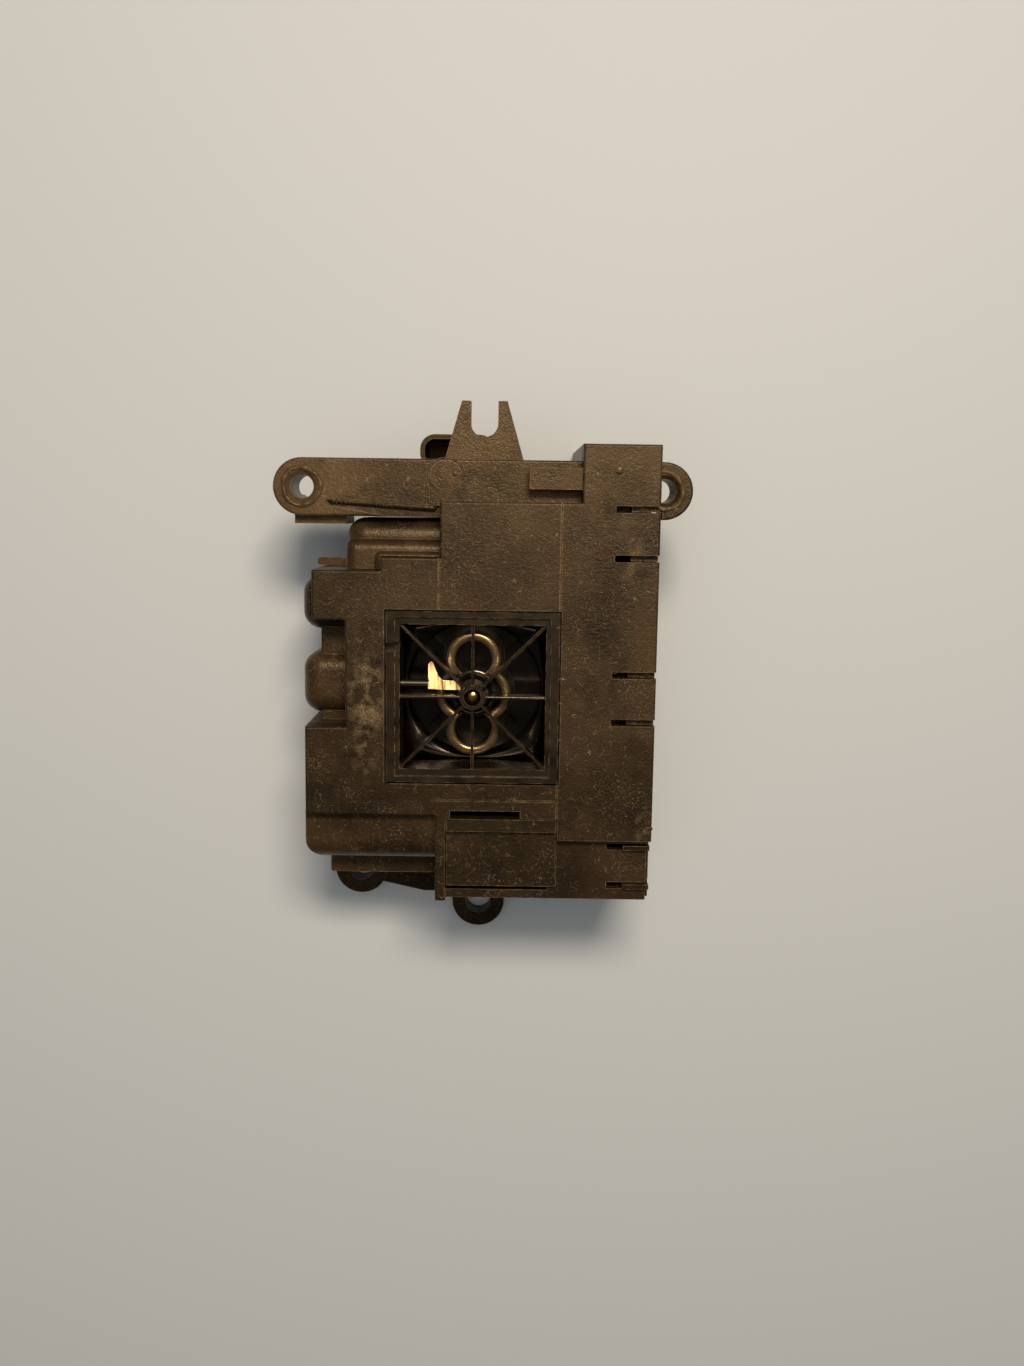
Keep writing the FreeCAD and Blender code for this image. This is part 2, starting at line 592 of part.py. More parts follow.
def housing_bar():
    """The bar with an ear at each end, ribbed from behind, and the gusset under its left ear."""
    ends = {side: f"bar_mid_x + {side} * ear_pitch / 2" for side in EARS}
    bar = fuse("BarOutside",
               block("BarBlock", (ends[-1], ends[1]), ("bar_mid_y - ear_r", "bar_mid_y + ear_r"),
                     ("bar_z", "split_z")),
               *[rod(f"Ear{side + 1}", ends[side], "bar_mid_y", ("bar_z", "split_z"),
                     "ear_r") for side in EARS])
    bar = soften("BarRound", bar, size("edge_r"), around_top)
    gusset = block("EarGusset", (f"{ends[-1]} - gusset_out", "upper_left"),
                   ("bar_mid_y - ear_r - gusset_down", "bar_mid_y"),
                   ("bar_z - gusset_rear", "split_z - gusset_sunk"))
    hollows = []
    bay = "(ear_pitch - 4 * ear_r) / 4"
    for k in range(4):
        start = f"{ends[-1]} + 2 * ear_r + {k} * {bay}"
        hollows.append(block(f"BarBay{k}", (start, f"{start} + {bay} - wall"),
                             ("bar_mid_y - ear_r + wall", "bar_mid_y + ear_r - wall"),
                             ("bar_z - over", "split_z - wall")))
    return [bar, gusset], hollows


def ear_holes():
    """The ear holes with their shallow countersinks."""
    tools = []
    for side in EARS:
        x = f"bar_mid_x + {side} * ear_pitch / 2"
        tools.append(rod(f"EarHole{side + 1}", x, "bar_mid_y",
                         ("bar_z - gusset_rear - over", "split_z + over"), "ear_hole_r"))
        sink = doc.addObject("Part::Cone", f"EarSink{side + 1}")
        bind(sink, "Radius1", "ear_hole_r")
        bind(sink, "Radius2", "ear_sink_r")
        bind(sink, "Height", "ear_sink")
        for axis, text in zip("xyz", (x, "bar_mid_y", "split_z - ear_sink")):
            bind(sink, f"Placement.Base.{axis}", text)
        tools.append(sink)
    groove = prism("LabelGroove",
                   [("groove_left", "groove_low"), ("centre_left - groove_end", "bar_mid_y - ear_r - over"),
                    ("centre_left", "bar_mid_y - ear_r - over"), ("centre_left", "centre_top - over"),
                    ("groove_left", "groove_high")],
                   ("split_z - groove_deep", "split_z + over"))
    mark = cut("EjectorMark",
               rod("EjectorOuter", "ejector_x", "ejector_y", ("split_z - seam", "split_z + over"),
                   "ejector_r"),
               rod("EjectorInner", "ejector_x", "ejector_y", ("split_z - over", "split_z + 2 * over"),
                   "ejector_r - seam"))
    return tools + [mark, groove]


def housing_fork():
    """The two-pronged clip on the bar's upper edge."""
    corners = [(f"bar_mid_x {sign} fork_{part}_half", y) for sign, part, y in
               (("-", "root", "bar_mid_y"), ("+", "root", "bar_mid_y"), ("+", "root", "bar_mid_y + ear_r"),
                ("+", "tip", "fork_tip"), ("-", "tip", "fork_tip"), ("-", "root", "bar_mid_y + ear_r"))]
    fork = prism("ForkPlate", corners, ("bar_z", "bar_z + fork_thick"))
    slot = [rod("ForkRound", "bar_mid_x", "fork_y", ("bar_z - over", "bar_z + fork_thick + over"), "fork_r"),
            block("ForkMouth", ("bar_mid_x - fork_r", "bar_mid_x + fork_r"), ("fork_y", "fork_tip + over"),
                  ("bar_z - over", "bar_z + fork_thick + over"))]
    return cut("Fork", fork, *slot)


def housing_lugs():
    """Two rear lugs joined to the casing by webs and to each other by a diagonal brace."""
    height = ("0", "lug_thick")
    solids = [rod("LugA", "lug_a_x", "lug_a_y", height, "lug_r"),
              rod("LugB", "lug_b_x", "lug_b_y", height, "lug_r"),
              block("WebA", ("lug_a_x - lug_r", "lug_a_x + lug_r"), ("lug_a_y", "face_bottom + wall"),
                    height),
              block("WebB", ("lug_b_x - lug_r + web_in", "lug_b_x + lug_r"), ("lug_b_y", "strip_low + wall"),
                    height),
              prism("Brace",
                    [("lug_b_x", "lug_b_y - lug_r / 2"), ("brace_x", "brace_y"), ("lug_a_x", "brace_y"),
                     ("lug_a_x", "strip_low + wall"), ("lug_b_x", "strip_low + wall")],
                    ("0", "lug_thick / 2"))]
    holes = [rod("LugHoleA", "lug_a_x", "lug_a_y", ("-over", "lug_thick + over"), "lug_hole_r"),
             rod("LugHoleB", "lug_b_x", "lug_b_y", ("-over", "lug_thick + over"), "lug_hole_r")]
    return solids, holes


def neck(name, gap):
    """The shroud's neck through the upper wall, or with a gap the hole for it."""
    return block(name, (f"neck_left - {gap}", f"neck_right + {gap}"),
                 (f"upper_top - wall - {gap}", "shroud_low + shroud_wall"),
                 (f"neck_low - {gap}", f"neck_high + {gap}"))


def harness_shroud():
    """The rounded harness shroud behind the fork, open towards the face; its neck holds the contact pins."""
    outside = block("ShroudBlock", ("shroud_left", "shroud_right"), ("shroud_low", "shroud_top"),
                    ("shroud_rear", "shroud_mouth"))
    outside = soften("ShroudRound", outside, size("shroud_r"), upright)
    room = block("ShroudRoomBlock", ("shroud_left + shroud_wall", "shroud_right - shroud_wall"),
                 ("shroud_low + shroud_wall", "shroud_top - shroud_wall"),
                 ("shroud_rear + shroud_wall", "shroud_mouth + over"))
    room = soften("ShroudRoom", room, size("shroud_r") - size("shroud_wall"), upright)
    holes = [pin_shape(f"PinHole{k}", k) for k in range(PIN_COUNT)]
    whole = fuse("ShroudWhole", cut("ShroudCup", outside, room), neck("ShroudNeck", "0"))
    piece("harness_shroud", cut("HarnessShroud", whole, *holes))


def housing_inside():
    """Bosses, posts and rings that stand on the casing's floor."""
    solids = [rod("Boss", "0", "0", ("0", "boss_top"), "boss_r")]
    floor = "wall / 2"
    for k, (x, y) in enumerate(POSTS):
        solids.append(rod(f"Post{k}", x, y, (floor, "plate_z"), "post_r"))
    for k, (x, y) in enumerate(BOARD_POSTS):
        solids.append(rod(f"BoardPost{k}", x, y, (floor, "board_z"), "board_post_r"))
    for k in range(2):
        y = f"switch_hole_y + {k} * switch_pitch"
        solids.append(rod(f"SwitchPost{k}", "switch_hole_x", y, (floor, "switch_z"), "switch_post_r"))
    nest = cut("NestRing", rod("NestOuter", ROTOR_X, ROTOR_Y, (floor, "nest_top"), "nest_r"),
               rod("NestInner", ROTOR_X, ROTOR_Y, ("can_z", "nest_top + over"), "can_r"))
    solids.append(nest)
    return solids


def housing_catches():
    """Pockets for the cover's snap tongues, with a thicker wall, a hook and two ribs behind each."""
    pads, pockets, hooks = [], [], []
    depth = "face_right - tongue_thick - fit_gap"
    for k, (y, half) in enumerate(TONGUES):
        span = (f"{y} - {half} - fit_gap - wall", f"{y} + {half} + fit_gap + wall")
        pads.append(block(f"Pad{k}", (f"{depth} - wall", "face_right - wall / 2"), span,
                          ("tongue_tip - wall", "split_z")))
        pockets.append(block(f"Pocket{k}", (depth, "face_right + over"),
                             (f"{y} - {half} - fit_gap", f"{y} + {half} + fit_gap"),
                             ("tongue_tip - fit_gap", "split_z + over")))
        hooks.append(block(f"Hook{k}", (f"{depth} - wall / 2", f"{depth} + hook_out"),
                           (f"{y} - hook_half", f"{y} + hook_half"), ("hook_low", "hook_high")))
        for side, sign in (("L", "-"), ("H", "+")):
            ends = (f"{y} {sign} ({half} + fit_gap)", f"{y} {sign} ({half} + slot_width - fit_gap)")
            hooks.append(block(f"Rib{k}{side}", ("face_right - rib_long", "face_right - fit_gap"),
                               ends if sign == "+" else ends[::-1], ("tongue_tip - wall", "rib_top")))
    return pads, pockets, hooks


def pin_shape(name, index):
    """One bent contact pin: a tail down to the board, a run through the neck and an upright tip."""
    x = f"pin_first + {index} * pin_pitch"
    half = "pin_thick / 2"
    sides = (f"{x} - {half}", f"{x} + {half}")
    tip_span = (f"pin_y - {half}", f"pin_y + {half}")
    tail_span = (f"pin_tail_y - {half}", f"pin_tail_y + {half}")
    run = block(name + "Run", sides, (tail_span[0], tip_span[1]), ("pin_z", "pin_z + pin_thick"))
    tip = block(name + "Tip", sides, tip_span, ("pin_z", "pin_tip"))
    tail = block(name + "Tail", sides, tail_span, ("board_z + board_thick", "pin_z + pin_thick"))
    return fuse(name, run, tip, tail)


def base_housing():
    """The deep casing with everything moulded onto it."""
    shell = housing_shell()
    bar, bays = housing_bar()
    lugs, lug_holes = housing_lugs()
    pads, pockets, hooks = housing_catches()
    whole = fuse("HousingWhole", shell, *bar, housing_fork(), *lugs, *pads, *housing_inside())
    tools = bays + ear_holes() + lug_holes + pockets + [neck("NeckHole", "fit_gap")]
    tools.append(block("BarRoom", ("column_left + wall", "face_right - wall"),
                       ("centre_top - wall", "column_top - wall"),
                       ("wall", "bar_z")))
    tools.append(rod("BushHole", "0", "0", ("-over", "boss_top + over"), "bush_r"))
    tools.append(rod("ShaftWell", ROTOR_X, ROTOR_Y, ("wall / 2", "can_z + over"), "motor_bush_r + over"))
    for k, (x, y) in enumerate(POSTS):
        tools.append(rod(f"PostHole{k}", x, y, ("plate_z - screw_long", "plate_z + over"), "screw_r"))
    for k in range(2):
        tools.append(rod(f"SwitchPostHole{k}", "switch_hole_x", f"switch_hole_y + {k} * switch_pitch",
                         ("switch_z - screw_long / 2", "switch_z + over"), "switch_hole_r"))
    tools.append(block("TabSlot", ("upper_left - over", "upper_left + wall + over"),
                       ("tab_y - tab_wide / 2 - slide_gap", "tab_y + tab_wide / 2 + slide_gap"),
                       ("tab_z - slide_gap", "tab_z + tab_high + slide_gap")))
    carved = cut("HousingCarved", whole, *tools)
    piece("base_housing", fuse("BaseHousing", carved, *hooks))


# ---- front cover and what is set into it --------------------------------------------------------------
def front_cover():
    """The shallow casing: the face plate, its skirt, three snap tongues, the window and the panel's bay."""
    outside = soften("CoverRound", prism("CoverBlock", FACE, ("split_z", "face_z")), size("edge_r"),
                     around_top)
    knob = block("BarPad", ("pad_left", "column_left + wall"), ("bar_mid_y", "pad_high"),
                 ("split_z", "pad_z"))
    outside = fuse("CoverOutside", outside, knob)
    room = cut("CoverRoom", prism("CoverRoomBlock", inset(FACE, "wall"), ("split_z - over", "face_z - skin")),
               block("CornerKeep", ("step_left - wall", "face_right"), ("face_bottom", "step_top + wall"),
                     ("split_z - 2 * over", "face_z")),
               block("PostKeep", ("post_left", "panel_left"), ("face_bottom", "foot_bottom"),
                     ("split_z - 2 * over", "face_z")))
    tools = [room, block("CornerStep", ("step_left", "face_right + over"), ("face_bottom - over", "step_top"),
                         ("step_z", "face_z + over"))]
    tools.append(block("CornerTrim", ("face_right - trim", "face_right + over"),
                       ("face_bottom - over", "step_top"), ("split_z - over", "face_z")))
    tools.append(block("FootStep", ("panel_left", "step_left + over"), ("face_bottom - over", "panel_low"),
                       ("step_z", "face_z + over")))
    half = "(frame_half + window_gap)"
    tools.append(block("Window", (f"-{half}", half), (f"-{half}", half), ("split_z", "face_z + over")))
    tools.append(block("PanelBay", ("panel_left", "panel_right"), ("panel_low", "arm_high + fit_gap"),
                       ("split_z - over", "face_z + over")))
    tools.append(block("LatchSlot", ("panel_left + wall / 2", "latch_slot_right"),
                       ("arm_high", "latch_slot_high"),
                       ("split_z - over", "face_z + over")))
    lines = [("LineRight", ("panel_right - seam", "panel_right"), ("arm_high", "centre_top")),
             ("LineLeft", ("centre_left - seam", "centre_left"), ("frame_half", "shoulder_top")),
             ("LineLow", ("post_left", "panel_right"), ("line_low", "line_low + seam"))]
    tools += [block(name, x_span, y_span, ("face_z - seam", "face_z + over")) for name, x_span,
              y_span in lines]
    for k, (y, half) in enumerate(TONGUES):
        for sign in ("-", "+"):
            near = f"{y} {sign} {half}"
            edges = (f"{near} - slot_width", near) if sign == "-" else (near, f"{near} + slot_width")
            tools.append(block(f"TongueSlot{k}{'L' if sign == '-' else 'H'}",
                               ("face_right - slot_length", "face_right + over"),
                               edges, ("split_z - over", "face_z + over")))
    body = cut("CoverBody", outside, *tools)
    tongues = [tongue(k, y, half) for k, (y, half) in enumerate(TONGUES)]
    piece("front_cover", fuse("FrontCover", body, *tongues))


def tongue(k, y, half):
    """A snap tongue: a strip hanging from the face's edge, with a window that the hook fills."""
    inner = "face_right - tongue_thick"
    strip = block(f"TongueStrip{k}", (inner, "face_right"), (f"{y} - {half}", f"{y} + {half}"),
                  ("tongue_tip", "split_z + fit_gap"))
    gap = "fit_gap"
    eye = block(f"TongueEye{k}", (f"{inner} - over", "face_right + over"),
                (f"{y} - hook_half - {gap}", f"{y} + hook_half + {gap}"),
                (f"hook_low - {gap}", f"hook_high + {gap}"))
    return cut(f"Tongue{k}", strip, eye)


def spider_frame():
    """The square window frame with eight spokes that carry the spindle's front bearing."""
    frame = block("FrameBlock", ("-frame_half", "frame_half"), ("-frame_half", "frame_half"),
                  ("frame_rear", "face_z"))
    lip_top = "face_z - skin - fit_gap"
    lip = block("FrameLip", ("-lip_half", "lip_half"), ("-lip_half", "lip_half"),
                (f"{lip_top} - lip_thick", lip_top))
    opening = block("FrameOpening", ("-frame_in", "frame_in"), ("-frame_in", "frame_in"),
                    ("frame_rear - over", "face_z + over"))
    notch = block("FrameNotch", ("-frame_half - over", "-frame_in + over"), ("notch_low", "notch_high"),
                  ("face_z - notch_deep / 2", "face_z + over"))
    step = block("FrameStep", ("-frame_in - over", "frame_in + over"),
                 ("-frame_half + frame_step", "frame_half - frame_step"),
                 ("face_z - frame_step_deep", "face_z + over"))
    ring_part = cut("FrameRing", fuse("FrameWhole", frame, lip), opening, notch, step)
    arms = []
    for k in range(8):
        reach = "sqrt(2) * (frame_in + spoke / 2)" if k % 2 else "frame_in + spoke / 2"
        arm = block(f"Spoke{k}", ("0", reach), ("-spoke / 2", "spoke / 2"), ("spoke_rear", "spoke_front"))
        turn = math.radians(SPOKE_STEP * k)
        arm.Placement.Rotation = FreeCAD.Rotation(FreeCAD.Vector(0, 0, 1), SPOKE_STEP * k)
        bind(arm, "Placement.Base.x", f"spoke / 2 * {math.sin(turn):.6f}")
        bind(arm, "Placement.Base.y", f"-spoke / 2 * {math.cos(turn):.6f}")
        arms.append(arm)
    hub = rod("FrameHub", "0", "0", ("nose_z + fit_gap", "hub_front"), "hub_r")
    bore = rod("FrameBore", "0", "0", ("nose_z - over", "hub_front + over"), "nose_r + running_gap")
    piece("spider_frame", cut("SpiderFrame", fuse("SpiderWhole", ring_part, hub, *arms), bore))


def window_well():
    """The square tray behind the window frame; it hides the gears and stands on three legs."""
    half = "frame_in + well_wall"
    top = "frame_rear - fit_gap"
    tray = block("WellBlock", (f"-({half})", half), (f"-({half})", half), ("well_z", top))
    room = block("WellRoom", ("-frame_in", "frame_in"), ("-frame_in", "frame_in"),
                 ("well_z + well_wall", f"{top} + over"))
    hole = rod("WellHole", "0", "0", ("well_z - over", "well_z + well_wall + over"),
               "spindle_r + 4 * fit_gap")
    legs = [rod(f"WellLeg{k}", x, y, ("plate_z + plate_thick", "well_z + well_wall"), "well_leg_r")
            for k, (x, y) in enumerate(WELL_LEGS)]
    piece("window_well", fuse("WindowWell", cut("WellTray", tray, room, hole), *legs))


def service_panel():
    """The snap-in panel under the window, with its thin latch arm free at the left end."""
    levels = ("panel_z - panel_thick", "panel_z")
    left, right = "panel_left + fit_gap", "panel_right - fit_gap"
    plate = block("PanelPlate", (left, right), ("panel_low + fit_gap", "panel_high"), levels)
    arm = block("PanelArm", (left, right), ("arm_low", "arm_high"),
                ("panel_z - panel_thick", "panel_z + latch_rise"))
    root = block("PanelRoot", (f"{right} - arm_root", right), ("panel_high - over", "arm_low + over"), levels)
    skirt = cut("PanelSkirt", block("SkirtBlock", (left, right), ("panel_low + fit_gap", "panel_high"),
                                    ("split_z + fit_gap", levels[1])),
                block("SkirtRoom", ("panel_left + wall", "panel_right - wall"),
                      ("panel_low + wall", "panel_high + over"),
                      ("split_z - over", levels[0])))
    piece("service_panel", fuse("ServicePanel", plate, arm, root, skirt))


# ---- gear train ---------------------------------------------------------------------------------------
IDLER_X = "module_size * (spindle_teeth + pinion_teeth) / 2 * cos(idler_angle * 1deg)"
IDLER_Y = "module_size * (spindle_teeth + pinion_teeth) / 2 * sin(idler_angle * 1deg)"
ROTOR_X = IDLER_X + " + module_size * (wheel_teeth + rotor_teeth) / 2 * cos(rotor_angle * 1deg)"
ROTOR_Y = IDLER_Y + " + module_size * (wheel_teeth + rotor_teeth) / 2 * sin(rotor_angle * 1deg)"


def polar(radius, angle):
    """A point from a radius and an angle in radians."""
    return FreeCAD.Vector(radius * math.cos(angle), radius * math.sin(angle), 0)


def gear_wire(teeth):
    """The outline of a spur gear with involute flanks, tooth 0 centred on angle 0."""
    pressure, addendum, dedendum = math.radians(25), 0.8, 1.05
    module = size("module_size")
    pitch = module * teeth / 2
    base, tip, root = pitch * math.cos(pressure), pitch + addendum * module, pitch - dedendum * module
    half = (math.pi * module / 2 - size("backlash") / 2) / 2 / pitch

    def involute(angle):
        return math.tan(angle) - angle

    def half_angle(radius):
        return half + involute(pressure) - involute(math.acos(min(1.0, base / radius)))

    start = max(base, root + 0.02)
    radii = [start + (tip - start) * k / 4 for k in range(5)]
    edges = []
    for tooth in range(teeth):
        centre = 2 * math.pi * tooth / teeth
        rising = [polar(radius, centre - half_angle(radius)) for radius in radii]
        falling = [polar(radius, centre + half_angle(radius)) for radius in reversed(radii)]
        foot_in = polar(root, centre - half_angle(start))
        foot_out = polar(root, centre + half_angle(start))
        next_foot = polar(root, centre + 2 * math.pi / teeth - half_angle(start))
        for flank in (rising, falling):
            curve = Part.BSplineCurve()
            curve.interpolate(flank)
            edges.append(curve.toShape())
        edges.append(Part.Arc(rising[-1], polar(tip, centre), falling[0]).toShape())
        edges.append(Part.LineSegment(foot_in, rising[0]).toShape())
        edges.append(Part.LineSegment(falling[-1], foot_out).toShape())
        edges.append(Part.Arc(foot_out, polar(root, centre + math.pi / teeth), next_foot).toShape())
    return Part.Wire(Part.__sortEdges__(edges))


def spur(name, teeth, z_low, width, bore, turn):
    """A solid spur gear about Z, turned by an angle in degrees."""
    body = Part.Face(gear_wire(int(size(teeth)))).extrude(FreeCAD.Vector(0, 0, width))
    body = body.cut(Part.makeCylinder(bore, width + 2, FreeCAD.Vector(0, 0, -1)))
    body.rotate(FreeCAD.Vector(), FreeCAD.Vector(0, 0, 1), turn)
    feature = doc.addObject("Part::Feature", name)
    feature.Shape = body
    feature.Placement = FreeCAD.Placement(FreeCAD.Vector(0, 0, z_low),
                                          FreeCAD.Rotation()) * feature.Placement
    return feature


def placed(thing, x, y):
    """Move a finished shape to a bound place in the plan."""
    bind(thing, "Placement.Base.x", x)
    bind(thing, "Placement.Base.y", y)
    return thing


def spindle():
    """The spindle: a stepped shaft with a keyed drive socket in its rear end and a shoulder on the bush."""
    shaft = turned("SpindleShaft", [
        ("0", "0"), ("spindle_r", "0"), ("spindle_r", "collar_z"), ("collar_r", "collar_z"),
        ("collar_r", "collar_z + collar_high"), ("spindle_r", "collar_z + collar_high"),
                                    ("spindle_r", "nose_z"),
        ("nose_r", "nose_z"), ("nose_r", "nose_end - nose_round"), ("nose_r - nose_round", "nose_end"),
        ("0", "nose_end")])
    socket = fuse("Socket", rod("SocketRound", "0", "0", ("-over", "socket_deep"), "socket_r"),
                 block("SocketKey", ("-key_half", "key_half"), ("0", "socket_r + key_deep"),
                       ("-over", "socket_deep")))
    piece("spindle", cut("Spindle", shaft, socket))
    piece("spindle_gear",
          spur("SpindleGear", "spindle_teeth", size("spindle_gear_z"), size("spindle_gear_high"),
                               size("spindle_r"), size("idler_angle")))


def four_lobes(name, grow, z_span):
    """Two long and two short round lobes about the axis, grown outwards by an expression."""
    shapes = []
    for k, (x, y) in enumerate([(1, 0), (-1, 0), (0, 1), (0, -1)]):
        kind = "long" if y else "short"
        reach, radius = f"lobe_{kind}", f"lobe_{kind}_r + {grow}"
        shapes.append(rod(f"{name}Lobe{k}", f"{x} * {reach}", f"{y} * {reach}", z_span, radius))
    return fuse(name, *shapes)


def lobed_collar():
    """The four-lobed cup on the spindle: a floor with a brim, and an upstanding lobed rim."""
    outside = four_lobes("LobeOutside", "0", ("lobe_base_z", "lobe_top"))
    inside = four_lobes("LobeInside", "-lobe_wall", ("lobe_base_z + lobe_floor", "lobe_top + over"))
    brim = four_lobes("LobeBrim", "lobe_brim", ("lobe_base_z", "lobe_base_z + lobe_floor"))
    hub = rod("LobeHub", "0", "0", ("lobe_base_z", "lobe_base_z + 2 * lobe_floor"), "spindle_r + lobe_hub")
    bore = rod("LobeBore", "0", "0", ("lobe_base_z - over", "lobe_top + over"), "spindle_r")
    cup = cut("LobeCup", fuse("LobeWhole", outside, brim), inside)
    piece("lobed_collar", cut("LobedCollar", fuse("LobeSolid", cup, hub), bore))


def reduction():
    """The compound gear between rotor and spindle, its axle and its clip."""
    count_p, count_w = size("pinion_teeth"), size("wheel_teeth")
    bore = size("axle_r") + size("running_gap")
    gap_turn = size("idler_angle") + 180 + 180 / count_p
    pinion = spur("ReductionPinion", "pinion_teeth", size("pinion_z"), size("pinion_high"), bore, gap_turn)
    wheel = spur("ReductionWheel", "wheel_teeth", size("wheel_z"), size("wheel_high"), bore,
                 size("rotor_angle"))
    hub = ring("ReductionHub", "2 * axle_r", "axle_r + running_gap",
               ("plate_z + plate_thick + 4 * fit_gap", "pinion_z + pinion_high"))
    piece("reduction_gear", placed(fuse("ReductionGear", pinion, wheel, hub), IDLER_X, IDLER_Y))
    piece("idler_axle",
          turned("IdlerAxle", [("0", "plate_z"), ("axle_r", "plate_z"), ("axle_r", "axle_end"),
                               ("0", "axle_end")],
                               IDLER_X, IDLER_Y))
    low = "pinion_z + pinion_high + fit_gap"
    piece("axle_clip", ring("AxleClip", "clip_r", "axle_r", (low, f"{low} + clip_thick"), IDLER_X, IDLER_Y))


def bearings():
    """The rear bush, the spindle's retaining ring and the two motor bushes."""
    piece("rear_bush", turned("RearBush", [
        ("spindle_r + running_gap", "2 * fit_gap"), ("bush_r", "2 * fit_gap"), ("bush_r", "boss_top"),
        ("bush_flange_r", "boss_top"), ("bush_flange_r", "collar_z - fit_gap"),
                                           ("spindle_r + running_gap", "collar_z - fit_gap")]))
    low = "plate_z + plate_thick + fit_gap"
    piece("retaining_ring",
          ring("RetainingRing", "spindle_r + clip_wide", "spindle_r", (low, f"{low} + clip_thick")))
    inner = "shaft_r + running_gap"
    lower = ring("LowerBush", "motor_bush_r", inner, ("can_z - can_wall", "spool_z"), ROTOR_X, ROTOR_Y)
    upper = ring("UpperBush", "motor_bush_r", inner, ("spool_z + spool_high", "plate_z + plate_thick"),
                 ROTOR_X, ROTOR_Y)
    piece("motor_bushes", group("MotorBushes", [lower, upper]))


def bearing_plate():
    """The steel plate that carries the reduction gear's axle and the motor, on four posts."""
    corners = [("plate_left", "plate_low"), ("plate_right", "plate_low"), ("plate_right", "plate_high"),
               ("plate_step_x", "plate_high"), ("plate_step_x", "plate_step_y"),
               ("plate_left", "plate_step_y")]
    levels = ("plate_z - over", "plate_z + plate_thick + over")
    holes = [rod("PlateSpindle", "0", "0", levels, "spindle_r + over"),
             rod("PlateAxle", IDLER_X, IDLER_Y, levels, "axle_r"),
             rod("PlateMotor", ROTOR_X, ROTOR_Y, levels, "motor_bush_r")]
    holes += [rod(f"PlateHole{k}", x, y, levels, "screw_r + fit_gap") for k, (x, y) in enumerate(POSTS)]
    piece("bearing_plate",
          cut("BearingPlate", prism("PlateBlank", corners, ("plate_z", "plate_z + plate_thick")), *holes))
    screws = [screw(f"PlateScrew{k}", x, y, "plate_z + plate_thick", "screw_long", "screw_r") for k,
              (x, y) in enumerate(POSTS)]
    piece("plate_screws", group("PlateScrews", screws))


def screw(name, x, y, seat, reach, radius):
    """A pan-head screw with a cross recess, its head on the seat height."""
    body = turned(name + "Body", [("0", f"{seat} - {reach}"), (radius, f"{seat} - {reach}"), (radius, seat),
                                  ("screw_head_r", seat), ("screw_head_r", f"{seat} + screw_head"),
                                  ("0", f"{seat} + screw_head")], x, y)
    depth = (f"{seat} + screw_head / 2", f"{seat} + screw_head + over")
    slots = [block(f"{name}Slot{k}", (f"{x} - {dx}", f"{x} + {dx}"), (f"{y} - {dy}", f"{y} + {dy}"), depth)
             for k, (dx, dy) in enumerate([CROSS, CROSS[::-1]])]
    return cut(name, body, *slots)


# ---- motor --------------------------------------------------------------------------------------------
def motor():
    """A small synchronous motor: can, end plate, bobbin, winding, magnet, shaft and pinion."""
    inner, top = "can_r - can_wall", "plate_z - end_plate"
    floor = "can_z + can_wall"
    piece("motor_can",
          turned("MotorCan", [("motor_bush_r", "can_z"), ("can_r", "can_z"), ("can_r", top), (inner, top),
                                           (inner, floor), ("motor_bush_r", floor)], ROTOR_X, ROTOR_Y))
    piece("motor_end_plate", ring("MotorEndPlate", "can_r", "motor_bush_r", (top, "plate_z"), ROTOR_X,
                                  ROTOR_Y))
    low, high = "spool_z", "spool_z + spool_high"
    core = "spool_in + spool_wall"
    piece("coil_bobbin", turned("CoilBobbin", [
        ("spool_in", low), ("spool_r", low), ("spool_r", f"{low} + spool_wall"),
                                               (core, f"{low} + spool_wall"),
        (core, f"{high} - spool_wall"), ("spool_r", f"{high} - spool_wall"), ("spool_r", high),
                                               ("spool_in", high)], ROTOR_X, ROTOR_Y))
    piece("coil_winding",
          ring("CoilWinding", "winding_r", core, (f"{low} + spool_wall", f"{high} - spool_wall"), ROTOR_X,
               ROTOR_Y))
    piece("rotor_magnet", ring("RotorMagnet", "magnet_r", "shaft_r", ("magnet_z", "magnet_z + magnet_high"),
                               ROTOR_X, ROTOR_Y))
    piece("rotor_shaft",
          turned("RotorShaft", [("0", "shaft_low"), ("shaft_r", "shaft_low"), ("shaft_r", "shaft_end"),
                                               ("0", "shaft_end")], ROTOR_X, ROTOR_Y))
    low_z = size("plate_z") + size("plate_thick") + 4 * size("fit_gap")
    width = size("wheel_z") + size("wheel_high") + 2 * size("fit_gap") - low_z
    turn = size("rotor_angle") + 180 + 180 / size("rotor_teeth")
    piece("motor_pinion", placed(spur("MotorPinion", "rotor_teeth", low_z, width, size("shaft_r"), turn),
                                 ROTOR_X, ROTOR_Y))


